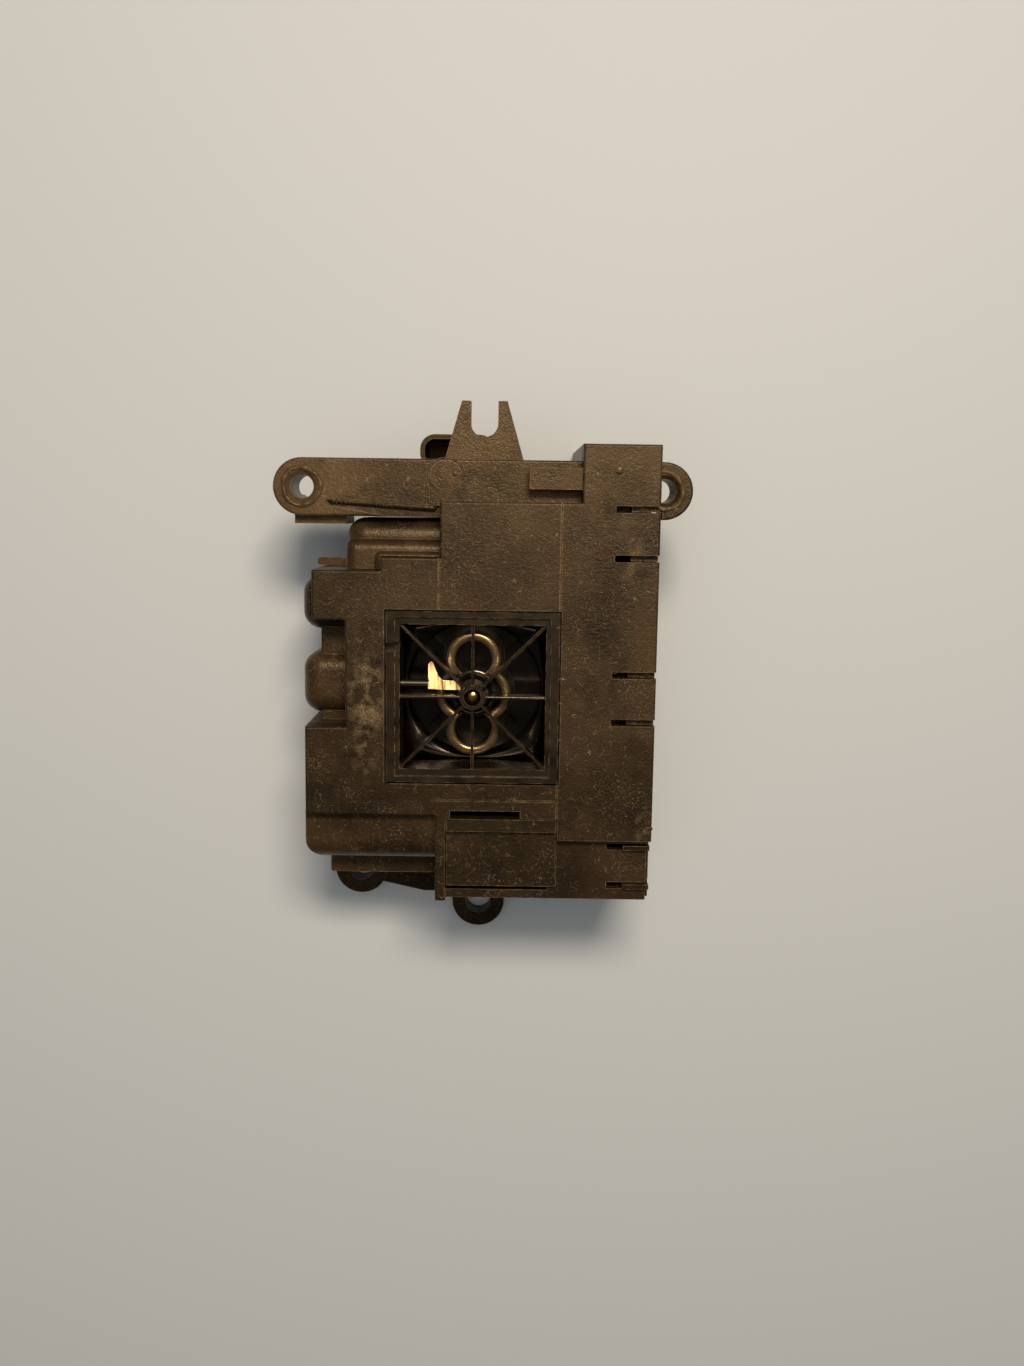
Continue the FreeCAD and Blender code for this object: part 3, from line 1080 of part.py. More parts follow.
# ---- switch and push tab ------------------------------------------------------------------------------
def switch():
    """A snap-action switch on two posts, its plunger, terminals and screws, and the tab that works it."""
    z_span = ("switch_z", "switch_z + switch_thick")
    right = "switch_left + switch_wide"
    case = block("SwitchBlock", ("switch_left", right), ("switch_low", "switch_low + switch_long"), z_span)
    holes = [rod(f"SwitchHole{k}", "switch_hole_x", f"switch_hole_y + {k} * switch_pitch",
                 ("switch_z - over", "switch_z + switch_thick + over"), "switch_hole_r") for k in range(2)]
    middle = "tab_z + tab_high / 2"
    well = block("PlungerWell", ("switch_left - over", "switch_left + plunger_in + travel + fit_gap"),
                 ("tab_y - plunger_wide / 2 - slide_gap", "tab_y + plunger_wide / 2 + slide_gap"),
                 (f"{middle} - plunger_high / 2 - slide_gap", f"{middle} + plunger_high / 2 + slide_gap"))
    piece("switch_case", cut("SwitchCase", case, well, *holes))
    piece("switch_plunger",
          block("SwitchPlunger", ("switch_left - plunger_out", "switch_left + plunger_in"),
                                  ("tab_y - plunger_wide / 2", "tab_y + plunger_wide / 2"),
                                  (f"{middle} - plunger_high / 2", f"{middle} + plunger_high / 2")))
    blades = [block(f"Blade{k}", (right, f"{right} + blade_long"),
                    (f"switch_low + switch_long / 2 + {k - 1} * blade_pitch - blade_thick / 2",
                     f"switch_low + switch_long / 2 + {k - 1} * blade_pitch + blade_thick / 2"),
                    ("switch_z + (switch_thick - blade_high) / 2",
                     "switch_z + (switch_thick + blade_high) / 2"))
              for k in range(3)]
    piece("switch_terminals", group("SwitchTerminals", blades))
    screws = [screw(f"SwitchScrew{k}", "switch_hole_x", f"switch_hole_y + {k} * switch_pitch",
                    "switch_z + switch_thick",
                    "switch_thick + screw_long / 2", "switch_hole_r") for k in range(2)]
    piece("switch_screws", group("SwitchScrews", screws))
    tail = "switch_left - plunger_out - touch_gap"
    sides = ("tab_y - tab_wide / 2", "tab_y + tab_wide / 2")
    bar = block("TabBar", ("tab_tip", tail), sides, ("tab_z", "tab_z + tab_high"))
    bar = soften("TabRound", bar, 0.45 * size("tab_wide"), upright_left)
    start = "upper_left + wall + fit_gap"
    stop = block("TabStop", (start, f"{start} + tab_stop_long"), sides,
                 ("tab_z", "tab_z + tab_high + tab_stop_high"))
    piece("push_tab", fuse("PushTab", bar, stop))


# ---- circuit board ------------------------------------------------------------------------------------
def circuit():
    """The circuit board with its relay, the capacitor in its own housing, the contact pins and the leads."""
    corners = [("board_left", "board_low"), ("board_right", "board_low"), ("board_right", "board_wing_low"),
               ("board_wing_right", "board_wing_low"), ("board_wing_right", "board_high"),
               ("board_left", "board_high")]
    top = "board_z + board_thick"
    holes = [rod(f"BoardHole{k}", "switch_hole_x", f"switch_hole_y + {k} * switch_pitch",
                 ("board_z - over", f"{top} + over"),
                 "switch_post_r + fit_gap") for k in range(2)]
    piece("circuit_board", cut("CircuitBoard", prism("BoardBlank", corners, ("board_z", top)), *holes))
    relay = block("RelayBlock", ("board_left + wall", "board_left + wall + relay_wide"),
                  ("relay_low", "relay_low + relay_long"),
                  (top, f"{top} + relay_high"))
    piece("relay", soften("Relay", relay, size("edge_r"), around_top))
    body = block("CapacitorBlock", ("capacitor_left", "capacitor_left + capacitor_long"),
                 ("capacitor_low", "capacitor_low + capacitor_wide"),
                 ("capacitor_z", "capacitor_z + capacitor_high"))
    piece("film_capacitor", soften("FilmCapacitor", body, 2 * size("edge_r"), around_top))
    leads = [rod(f"Lead{k}", f"lead_x + {k} * lead_pitch", "capacitor_low + capacitor_wide / 2",
                 (top, "capacitor_z"), "lead_r")
             for k in range(2)]
    piece("capacitor_leads", group("CapacitorLeads", leads))
    piece("connector_pins", group("ConnectorPins", [pin_shape(f"Pin{k}", k) for k in range(PIN_COUNT)]))
    piece("motor_leads", group("MotorLeads", [motor_lead(k) for k in range(2)]))


def motor_lead(k):
    """One insulated lead: along from the motor's can, then down to the board."""
    y = f"(cable_y + {k} * cable_pitch)"
    far = "board_right - 2 * cable_r"
    run = doc.addObject("Part::Cylinder", f"CableRun{k}")
    run.Placement.Rotation = FreeCAD.Rotation(FreeCAD.Vector(0, 1, 0), 90)
    bind(run, "Radius", "cable_r")
    bind(run, "Height", f"{ROTOR_X} - ({far})")
    bind(run, "Placement.Base.x", far)
    bind(run, "Placement.Base.y", y)
    bind(run, "Placement.Base.z", "cable_z")
    drop = rod(f"CableDrop{k}", far, y, ("board_z + board_thick", "cable_z"), "cable_r")
    elbow = doc.addObject("Part::Sphere", f"CableElbow{k}")
    bind(elbow, "Radius", "cable_r")
    for axis, text in zip("xyz", (far, y, "cable_z")):
        bind(elbow, f"Placement.Base.{axis}", text)
    return cut(f"Cable{k}", fuse(f"CableWhole{k}", run, drop, elbow),
               rod(f"CableEnd{k}", ROTOR_X, ROTOR_Y, ("can_z", "plate_z"), "can_r"))


def write_pieces():
    """Check every object and every finished shape, then write one file a piece."""
    doc.recompute()
    faults = [thing.Name for thing in doc.Objects if {"Invalid", "Error"} & set(thing.State)]
    for thing in pieces:
        if thing.Shape.isNull() or not thing.Shape.isValid() or not thing.Shape.Solids:
            faults.append(thing.Label)
    if faults:
        raise RuntimeError("failed: " + ", ".join(faults))
    os.makedirs("parts", exist_ok=True)
    for thing in pieces:
        thing.Shape.exportStep(os.path.join("parts", thing.Label + ".step"))
        print(f"{thing.Label:20s} {len(thing.Shape.Solids)} solids {thing.Shape.Volume:10.1f} mm3")


fill_sheet()
for build in (base_housing, harness_shroud, front_cover, spider_frame, window_well, service_panel, spindle,
              lobed_collar, reduction,
              bearings, bearing_plate, motor, switch, circuit):
    build()
    doc.recompute()
write_pieces()
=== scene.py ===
"""Timer drive module: a black moulded casing with a spoked square window, lying on its back."""
import json
import math

import bmesh
import bpy
import numpy as np
from mathutils import Matrix, Vector


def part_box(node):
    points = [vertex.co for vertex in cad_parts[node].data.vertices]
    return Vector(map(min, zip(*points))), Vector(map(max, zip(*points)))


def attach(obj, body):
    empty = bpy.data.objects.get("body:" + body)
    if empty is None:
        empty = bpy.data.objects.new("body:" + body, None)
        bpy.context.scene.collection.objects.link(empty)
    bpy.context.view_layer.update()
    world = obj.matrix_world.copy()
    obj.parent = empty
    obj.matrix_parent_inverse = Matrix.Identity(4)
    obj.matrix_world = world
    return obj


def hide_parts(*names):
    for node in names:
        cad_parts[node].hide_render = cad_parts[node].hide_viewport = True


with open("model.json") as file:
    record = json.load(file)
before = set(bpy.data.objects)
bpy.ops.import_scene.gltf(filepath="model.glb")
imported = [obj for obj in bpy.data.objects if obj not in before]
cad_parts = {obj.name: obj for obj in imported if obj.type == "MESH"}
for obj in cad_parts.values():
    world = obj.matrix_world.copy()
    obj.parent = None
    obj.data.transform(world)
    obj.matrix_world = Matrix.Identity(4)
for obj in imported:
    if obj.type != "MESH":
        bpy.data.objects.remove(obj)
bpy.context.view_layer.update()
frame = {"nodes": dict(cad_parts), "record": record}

# ---- Camera -------------------------------------------------------------------------------------------
# The module lies on its back and is seen from straight above, a little over its bar end.
# The camera leans eight degrees towards the lower edge and is rolled by under one degree.
view_place = Vector((0.0088, 0.0425, 0.329))
view_tilt, view_roll = math.radians(8.0), math.radians(0.8)
view_ahead = Vector((0, -math.sin(view_tilt), -math.cos(view_tilt)))
view_up = Vector((0, math.cos(view_tilt), -math.sin(view_tilt)))
view_right = view_ahead.cross(view_up)
turned_right = math.cos(view_roll) * view_right + math.sin(view_roll) * view_up
turned_up = math.cos(view_roll) * view_up - math.sin(view_roll) * view_right
camera = bpy.data.objects.new("camera", bpy.data.cameras.new("camera"))
camera.data.sensor_width = 36.0
camera.data.lens = 33.2
camera.data.clip_start = 0.01
view_axes = Matrix((turned_right, turned_up, -view_ahead)).transposed().to_4x4()
camera.matrix_world = Matrix.Translation(view_place) @ view_axes
bpy.context.scene.collection.objects.link(camera)
bpy.context.scene.camera = camera

# ---- Bench and light ----------------------------------------------------------------------------------
# A plain pale bench top under soft studio light: a wide sheet overhead, a warm lamp beyond the bar's
# right end that rakes across the moulding, a fainter one that gives the sheen, and a dim even room.
bench_half, bench_z = 1.2, 0.0
bench_corners = [(-bench_half, -bench_half, bench_z), (bench_half, -bench_half, bench_z),
                 (bench_half, bench_half, bench_z), (-bench_half, bench_half, bench_z)]
bench_mesh = bpy.data.meshes.new("bench_top")
bench_mesh.from_pydata(bench_corners, [], [(0, 1, 2, 3)])
bench_top = bpy.data.objects.new("bench_top", bench_mesh)
bpy.context.scene.collection.objects.link(bench_top)

bench_paint = bpy.data.materials.new("bench_paint")
bench_paint.use_nodes = True
bench_shader = bench_paint.node_tree.nodes["Principled BSDF"]
bench_shader.inputs["Base Color"].default_value = (0.51, 0.525, 0.53, 1)
bench_shader.inputs["Roughness"].default_value = 0.6
bench_shader.inputs["Specular IOR Level"].default_value = 0.15
bench_mesh.materials.append(bench_paint)


def soft_lamp(name, place, aim, width, height, watts, colour):
    """A rectangular lamp at a place, turned to face the point it is aimed at."""
    lamp = bpy.data.lights.new(name, "AREA")
    lamp.shape = "RECTANGLE"
    lamp.size, lamp.size_y = width, height
    lamp.energy, lamp.color = watts, colour
    holder = bpy.data.objects.new(name, lamp)
    holder.location = place
    holder.rotation_euler = (Vector(aim) - Vector(place)).to_track_quat("-Z", "Y").to_euler()
    bpy.context.scene.collection.objects.link(holder)
    return holder


soft_lamp("raking_lamp", place=(0.08, 0.33, 0.66), aim=(0.0, 0.01, 0.04), width=0.22, height=0.12,
          watts=5.0, colour=(1.0, 0.87, 0.70))
soft_lamp("sheen_lamp", place=(0.01, 0.25, 1.00), aim=(0.01, 0.03, 0), width=0.40, height=0.34,
          watts=0.9, colour=(1.0, 0.88, 0.70))
overhead = soft_lamp("overhead_sheet", place=(-0.04, 0.03, 1.1), aim=(0, 0, 0), width=1.0, height=1.0,
                     watts=3.0, colour=(0.90, 0.95, 1.0))
overhead.visible_glossy = False
room = bpy.data.worlds.new("room")
room.use_nodes = True
room.node_tree.nodes["Background"].inputs["Color"].default_value = (0.80, 0.83, 0.88, 1)
room.node_tree.nodes["Background"].inputs["Strength"].default_value = 0.09
bpy.context.scene.world = room
bpy.context.scene.view_settings.view_transform = "Standard"

# ---- Casings ------------------------------------------------------------------------------------------
# Two snap-together shells, the service panel, the harness shroud and the push tab: brown-black glass-filled
# nylon with a fine moulded grain and a dusty face. A painted bronze sheen grows towards the side where the
# light falls, and the sharp edges are paled as wear and as painted edge highlight.


class Weaver:
    """Adds shader nodes to one material and joins them up."""

    def __init__(self, name):
        self.material = bpy.data.materials.new(name)
        self.material.use_nodes = True
        self.tree = self.material.node_tree
        self.shader = self.tree.nodes["Principled BSDF"]
        self.coords = self.tree.nodes.new("ShaderNodeTexCoord").outputs["Object"]

    def add(self, kind, **inputs):
        """A node whose sockets are set from numbers or joined to other sockets."""
        node = self.tree.nodes.new("ShaderNode" + kind)
        for key, value in inputs.items():
            self.feed(node.inputs[key.replace("_", " ")], value)
        return node

    def feed(self, socket, value):
        """A socket takes a number, a colour or another node's socket."""
        if isinstance(value, bpy.types.NodeSocket):
            self.tree.links.new(value, socket)
        else:
            socket.default_value = value

    def fix(self, **values):
        """Constant values set on the shader's own sockets."""
        for key, value in values.items():
            self.shader.inputs[key.replace("_", " ")].default_value = value

    def stretched(self, scale, turn=0.0, centre=(0, 0, 0)):
        """Object coordinates scaled differently each way, turned about Z and centred on a point."""
        node = self.add("Mapping", Vector=self.coords)
        node.vector_type = "TEXTURE"
        node.inputs["Location"].default_value = centre
        node.inputs["Scale"].default_value = [1.0 / part for part in scale]
        node.inputs["Rotation"].default_value = (0, 0, turn)
        return node.outputs["Vector"]

    def noise(self, size, detail=3.0, coords=None, bend=0.0):
        """Cloudy noise whose patches are about one size across, in metres."""
        node = self.add("TexNoise", Vector=coords or self.coords, Scale=1.0 / size, Detail=detail,
                        Distortion=bend)
        return node.outputs["Fac"]

    def along(self, x, y, z):
        """Distance from the origin along a direction, in metres."""
        node = self.tree.nodes.new("ShaderNodeVectorMath")
        node.operation = "DOT_PRODUCT"
        self.tree.links.new(self.coords, node.inputs[0])
        node.inputs[1].default_value = (x, y, z)
        return node.outputs["Value"]

    def band(self, value, low, high):
        """A value stretched so that low becomes 0 and high becomes 1."""
        node = self.tree.nodes.new("ShaderNodeMapRange")
        self.feed(node.inputs["Value"], value)
        self.feed(node.inputs["From Min"], low)
        self.feed(node.inputs["From Max"], high)
        return node.outputs["Result"]

    def span(self, value, low, high):
        """A value of 0 to 1 put between two others."""
        node = self.tree.nodes.new("ShaderNodeMapRange")
        self.feed(node.inputs["Value"], value)
        self.feed(node.inputs["To Min"], low)
        self.feed(node.inputs["To Max"], high)
        return node.outputs["Result"]

    def sum(self, kind, first, second, clamp=True):
        """Two values put together by one operation."""
        node = self.tree.nodes.new("ShaderNodeMath")
        node.operation = kind
        node.use_clamp = clamp
        self.feed(node.inputs[0], first)
        self.feed(node.inputs[1], second)
        return node.outputs["Value"]

    def times(self, *values):
        """Several shares multiplied."""
        result = values[0]
        for value in values[1:]:
            result = self.sum("MULTIPLY", result, value)
        return result

    def hairs(self, size, width, coverage):
        """Short curved hairlines: the contour of one noise, broken up by another."""
        offset = self.sum("SUBTRACT", self.noise(size, 1.0), 0.5, clamp=False)
        line = self.band(self.sum("ABSOLUTE", offset, 0.0), width, 0.0)
        return self.times(line, self.band(self.noise(size * 0.8, 0.0), coverage, coverage + 0.05))

    def blend(self, share, first, second):
        """One colour turning into another."""
        node = self.tree.nodes.new("ShaderNodeMix")
        node.data_type = "RGBA"
        self.feed(node.inputs["Factor"], share)
        self.feed(node.inputs[6], first if isinstance(first, bpy.types.NodeSocket) else (*first, 1))
        self.feed(node.inputs[7], second if isinstance(second, bpy.types.NodeSocket) else (*second, 1))
        return node.outputs[2]

    def sharp_edge_share(self, radius):
        """1 on sharp edges and 0 on flats, from how far a rounded normal leans from the true one."""
        smooth = self.add("Bevel", Radius=radius)
        true = self.tree.nodes.new("ShaderNodeNewGeometry")
        dot = self.tree.nodes.new("ShaderNodeVectorMath")
        dot.operation = "DOT_PRODUCT"
        self.tree.links.new(smooth.outputs["Normal"], dot.inputs[0])
        self.tree.links.new(true.outputs["Normal"], dot.inputs[1])
        return self.band(dot.outputs["Value"], 0.985, 0.80)

    def finish(self, colour, rough):
        """The patterns that give the surface its colour and its roughness."""
        self.feed(self.shader.inputs["Base Color"], colour)
        self.feed(self.shader.inputs["Roughness"], rough)

    def emboss(self, height, depth):
        """Bump from a height pattern, with its depth in metres."""
        node = self.add("Bump", Height=height, Distance=depth, Strength=1.0)
        self.feed(self.shader.inputs["Normal"], node.outputs["Normal"])


# A smear is longer along the bar's length than across it, and as deep as the casing.
smear_shape, face_height = (1.0, 0.45, 0.02), 0.05


def moulded_nylon(name, sheen_strength, dust, edge, gloss=0.0, smears=(), sheen_lean=(0.50, 0.87)):
    """Brown-black nylon: grain, smudges, stains, a dust film in patches, hairline scratches, rubbed edges.

    Each smear is a flaky pale mark, given as x, y, reach and strength. The nylon is painted lighter and
    browner the farther it lies along the lean direction: a painted sheen where the light falls. Sharp edges
    are paled as wear and as painted edge highlight.
    """
    paint = Weaver(name)
    smudge = paint.band(paint.noise(0.013, 5.0, bend=0.5), 0.30, 0.72)
    body = paint.blend(smudge, (0.0035, 0.0020, 0.0010), (0.0175, 0.0100, 0.0047))
    # Painted sheen: lighter bronze, in cloudy patches, painted along the lean direction where the light
    # falls.
    painted_light_share = paint.band(paint.along(*sheen_lean, 0.0), -0.050, 0.070)
    cloud = paint.band(paint.noise(0.022, 4.0), 0.34, 0.66)
    with_painted_sheen = paint.blend(paint.times(painted_light_share, cloud, sheen_strength), body, (0.102, 0.058, 0.025))
    stain = paint.times(paint.band(paint.noise(0.010, 6.0, bend=0.8), 0.54, 0.70), 0.75)
    stained = paint.blend(stain, with_painted_sheen, (0.0045, 0.0026, 0.0013))
    speck = paint.band(paint.noise(0.00042, 2.0), 0.55, 0.75)
    film = paint.times(speck, paint.band(paint.noise(0.009, 4.0, bend=0.4), 0.44, 0.70), dust)
    dusty = paint.blend(film, stained, (0.34, 0.230, 0.125))
    for x, y, reach, strength in smears:
        spot = paint.tree.nodes.new("ShaderNodeVectorMath")
        spot.operation = "LENGTH"
        paint.tree.links.new(paint.stretched(smear_shape, centre=(x, y, face_height)), spot.inputs[0])
        near = paint.band(spot.outputs["Value"], reach, 0.2 * reach)
        flake = paint.times(paint.band(paint.noise(0.0024, 8.0), 0.44, 0.66),
                            paint.band(paint.noise(0.0004), 0.3, 0.6))
        dusty = paint.blend(paint.times(near, flake, strength), dusty, (0.40, 0.275, 0.150))
    curls = paint.times(paint.hairs(0.0021, 0.008, 0.58), 1.6 * dust)
    crossing = paint.times(paint.hairs(0.0034, 0.005, 0.58), 1.4 * dust)
    scored = paint.blend(paint.sum("ADD", curls, crossing), dusty, (0.30, 0.215, 0.125))
    # Sharp edges paled in patches: wear and painted edge highlight.
    edge_wear_and_highlight = paint.times(paint.sharp_edge_share(0.00030), paint.band(paint.noise(0.0016, 2.0), 0.28, 0.66), edge)
    paint.finish(colour=paint.blend(edge_wear_and_highlight, scored, (0.30, 0.200, 0.110)),
                 rough=paint.span(paint.noise(0.004, 4.0), 0.27 - gloss, 0.60 - gloss))
    paint.fix(Specular_IOR_Level=0.33, Specular_Tint=(1.0, 0.76, 0.50, 1))
    leather = paint.sum("ADD", paint.noise(0.0009, 3.0), paint.noise(0.00035, 1.0), clamp=False)
    paint.emboss(leather, 0.000065)
    return paint.material


def repaint(material, *nodes):
    """Each CAD node takes the material in place of its plain one."""
    for node in nodes:
        slots = frame["nodes"][node].data.materials
        slots.clear()
        slots.append(material)


cover_smears = ((-0.0235, 0.0000, 0.0052, 0.55), (-0.0240, -0.0130, 0.0034, 0.34),
                (0.0392, -0.0295, 0.0026, 0.50), (0.0350, 0.0330, 0.0050, 0.20))
repaint(moulded_nylon("cover_nylon", sheen_strength=0.60, dust=0.34, edge=0.75, smears=cover_smears), "front_cover")
repaint(moulded_nylon("panel_nylon", sheen_strength=0.20, dust=0.30, edge=0.75), "service_panel")
# The base's painted sheen leans to the left and lights its bulges and steps there as a painted highlight.
repaint(moulded_nylon("base_nylon", sheen_strength=0.74, dust=0.30, edge=0.80, gloss=0.08, sheen_lean=(-1.0, 0.75)),
        "base_housing", "push_tab")
repaint(moulded_nylon("shroud_nylon", sheen_strength=0.10, dust=0.15, edge=0.4), "harness_shroud")

# ---- Window frame and its spokes ----------------------------------------------------------------------
# A square frame of smoother black nylon dropped into the cover, with eight thin spokes and the front
# bearing moulded in one piece. The spokes carry painted highlights in patches, and the sharp edges are
# paled as wear and as painted edge highlight.


def frame_nylon(name, spoke_low, spoke_high):
    """Dark smooth nylon: whatever lies between two heights gets painted highlights in patches, and sharp
    edges are paled as wear and as painted edge highlight.
    """
    paint = Weaver(name)
    height = paint.along(0, 0, 1)
    on_spoke = paint.times(paint.band(height, spoke_low, spoke_low + 0.0004),
                           paint.band(height, spoke_high, spoke_high - 0.0004))
    patch = paint.band(paint.noise(0.005, 3.0), 0.34, 0.62)
    body = paint.blend(patch, (0.006, 0.0036, 0.0020), (0.019, 0.0112, 0.0055))
    # Painted highlight: pale patches on the spokes that stand for glints of light along them.
    painted_spoke_highlight = paint.times(on_spoke, paint.band(paint.noise(0.0075, 1.0), 0.50, 0.60), 0.55)
    spokes = paint.blend(painted_spoke_highlight, body, (0.15, 0.095, 0.050))
    # Sharp edges paled in patches: wear and painted edge highlight.
    edge_wear_and_highlight = paint.times(paint.sharp_edge_share(0.00014), paint.band(paint.noise(0.0022, 2.0), 0.42, 0.62))
    paint.finish(colour=paint.blend(edge_wear_and_highlight, spokes, (0.34, 0.225, 0.120)),
                 rough=paint.span(paint.noise(0.003, 3.0), 0.16, 0.40))
    paint.fix(Specular_IOR_Level=0.5, Specular_Tint=(1.0, 0.82, 0.62, 1))
    paint.emboss(paint.noise(0.0006, 2.0), 0.00002)
    return paint.material


frame_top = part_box("spider_frame")[1].z
spoke_down, spoke_thick = 0.0012, 0.0012
repaint(frame_nylon("frame_nylon", spoke_low=frame_top - spoke_down - spoke_thick,
                    spoke_high=frame_top - spoke_down), "spider_frame")

# ---- Well, lobed collar and spindle -------------------------------------------------------------------
# The glossy black tray behind the window, the four-lobed cup that turns in it and the polished shaft.
# They are the only shiny surfaces, and catch the lamp in a few bright glints.


def skin(name, points, material, body, around=False, across=False):
    """A mesh from a grid of points, joined round the first and second way where they close."""
    rows, columns = points.shape[:2]
    if around:
        rows += 1
    if across:
        columns += 1
    row = np.arange(rows - 1)[:, None]
    column = np.arange(columns - 1)[None, :]
    next_row = (row + 1) % points.shape[0]
    next_column = (column + 1) % points.shape[1]
    width = points.shape[1]
    quads = np.stack([row * width + column, next_row * width + column,
                      next_row * width + next_column, row * width + next_column], axis=-1).reshape(-1, 4)
    mesh = bpy.data.meshes.new(name)
    mesh.from_pydata(points.reshape(-1, 3).tolist(), [], quads.tolist())
    tidy = bmesh.new()
    tidy.from_mesh(mesh)
    bmesh.ops.remove_doubles(tidy, verts=tidy.verts, dist=1e-7)
    bmesh.ops.recalc_face_normals(tidy, faces=tidy.faces)
    tidy.to_mesh(mesh)
    tidy.free()
    mesh.shade_smooth()
    mesh.materials.append(material)
    made = bpy.data.objects.new(name, mesh)
    bpy.context.scene.collection.objects.link(made)
    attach(made, body)
    return made


def revolve(name, radii, heights, centre, material, body, steps=64):
    """A turned shape: a closed (radius, height) profile carried round an upright axis at the centre."""
    turn = np.linspace(0, 2 * np.pi, steps, endpoint=False)[:, None]
    radii, heights = np.asarray(radii)[None, :], np.asarray(heights)[None, :]
    points = np.stack([centre[0] + radii * np.cos(turn), centre[1] + radii * np.sin(turn),
                       heights + 0 * turn], axis=-1)
    return skin(name, points, material, body, around=True, across=True)


def black_gloss(name, rough, colour=(0.0016, 0.0011, 0.0008), rim=None):
    """Polished black acetal with faint ripples; above a given height its rim is painted pale brown and
    streaked, as a painted reflection of the lamp.
    """
    paint = Weaver(name)
    lighter = tuple(1.9 * part for part in colour)
    shade = paint.blend(paint.band(paint.noise(0.003), 0.4, 0.7), colour, lighter)
    if rim:
        # Painted reflection: the rim's top is painted pale, in place of the lamp's reflection on it.
        top = paint.band(paint.along(0, 0, 1), rim - 0.0005, rim - 0.0001)
        painted_rim_reflection = paint.times(top, paint.span(paint.noise(0.0008), 0.5, 1.0))
        shade = paint.blend(painted_rim_reflection, shade, (0.15, 0.10, 0.058))
    # Sharp edges paled: wear and painted edge highlight.
    edge_wear_and_highlight = paint.times(paint.sharp_edge_share(0.00015), 0.35)
    paint.finish(colour=paint.blend(edge_wear_and_highlight, shade, (0.20, 0.14, 0.08)),
                 rough=paint.span(paint.noise(0.005, 2.0), rough, rough + 0.14))
    paint.fix(Specular_IOR_Level=0.5, Specular_Tint=(1.0, 0.86, 0.66, 1))
    paint.emboss(paint.noise(0.002, 1.0), 0.00001)
    return paint.material


well_black = black_gloss("well_gloss", rough=0.08)
repaint(well_black, "window_well")
collar_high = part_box("lobed_collar")[1]
# The collar's rim carries the painted reflection.
repaint(black_gloss("collar_gloss", rough=0.14, rim=collar_high.z), "lobed_collar")
repaint(black_gloss("spindle_gloss", rough=0.06, colour=(0.012, 0.010, 0.008)), "spindle")


def lobed_radius(angle, long_reach, long_r, short_reach, short_r):
    """Distance from the axis to the edge of four round lobes: the farthest circle met along the angle."""
    reach = np.zeros_like(angle)
    for middle, radius, lead in ((0.0, short_r, short_reach), (np.pi, short_r, short_reach),
                                 (np.pi / 2, long_r, long_reach), (-np.pi / 2, long_r, long_reach)):
        side = lead * np.sin(angle - middle)
        hit = np.abs(side) < radius
        there = lead * np.cos(angle - middle) + np.sqrt(np.where(hit, radius ** 2 - side ** 2, 0))
        reach = np.where(hit, np.maximum(reach, there), reach)
    return reach


# The collar's lobes are worked out from its box. A plate halfway up the well has a round cut-out that
# clears the circle the turning lobes sweep.
lobe_long_r, lobe_short_r, brim = 0.0061, 0.0065, 0.0010
lobe_long, lobe_short = collar_high.y - brim - lobe_long_r, collar_high.x - brim - lobe_short_r
well_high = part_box("window_well")[1]
well_wall, relief_down, relief_thick, turning_gap = 0.0012, 0.0032, 0.0012, 0.0004
well_half = well_high.x - well_wall
relief_top = well_high.z - relief_down
way = np.linspace(0, 2 * np.pi, 240, endpoint=False)[:, None]
cut_out = collar_high.y + turning_gap + 0 * way
square = well_half / np.maximum(np.abs(np.cos(way)), np.abs(np.sin(way)))
inwards = np.array([[1.0, 0.0, 0.0, 0.0, 0.02, 0.5, 1.0, 1.0]])
drop = np.array([[1.0, 1.0, 0.5, 0.12, 0.0, 0.0, 0.0, 1.0]])
reach = cut_out + (square - cut_out) * inwards
relief = np.stack([reach * np.cos(way), reach * np.sin(way), relief_top - relief_thick * drop + 0 * reach],
                  axis=-1)
skin("well_relief", relief, well_black, "casing", around=True, across=True)

# The collar's rim carries a low crowned bead, turned and brushed, which catches the lamp in arcs.
bead_wall, bead_rise, bead_share = 0.0019, 0.00040, 0.98
across_bead = np.linspace(0, 2 * np.pi, 16, endpoint=False)[None, :]
rim_reach = lobed_radius(way, lobe_long, lobe_long_r, lobe_short, lobe_short_r)
inner_reach = lobed_radius(way, lobe_long, lobe_long_r - bead_wall, lobe_short, lobe_short_r - bead_wall)
middle, half = (rim_reach + inner_reach) / 2, (rim_reach - inner_reach) / 2
bead_reach = middle + bead_share * half * np.cos(across_bead)
bead = np.stack([bead_reach * np.cos(way), bead_reach * np.sin(way),
                 collar_high.z + bead_rise * np.sin(across_bead) + 0 * way], axis=-1)
brushed_rim = Weaver("brushed_rim")
rim_lines = brushed_rim.noise(1.0, 2.0, brushed_rim.stretched((700, 4200, 700)))
brushed_rim.finish(colour=brushed_rim.blend(rim_lines, (0.05, 0.030, 0.014), (0.46, 0.30, 0.14)),
                   rough=brushed_rim.span(rim_lines, 0.16, 0.32))
brushed_rim.fix(Metallic=0.85)
brushed_rim.emboss(rim_lines, 0.00001)
collar_bead = skin("collar_bead", bead, brushed_rim.material, "spindle_set", around=True, across=True)


leaf_wide, leaf_thick = 0.0022, 0.00012
bell_rise, bell_in, bell_wide = 0.0044, 0.0006, 0.0014


def sloping_leaf(left, right, low, top, fall):
    """A thin sheet that slopes down towards +Y; its upper edge drops as a bell from its left end."""
    x = left + (right - left) * np.linspace(0, 1, 70)[:, None]
    high = low + leaf_wide + bell_rise * np.exp(-((x - left - bell_in) / bell_wide) ** 2)
    y = low + (high - low) * np.linspace(0, 1, 24)[None, :]
    upper = np.stack([x + 0 * y, y, top - fall * (y - low)], axis=-1)
    return np.concatenate([upper, upper[:, ::-1] - np.array([0, 0, leaf_thick])], axis=1)


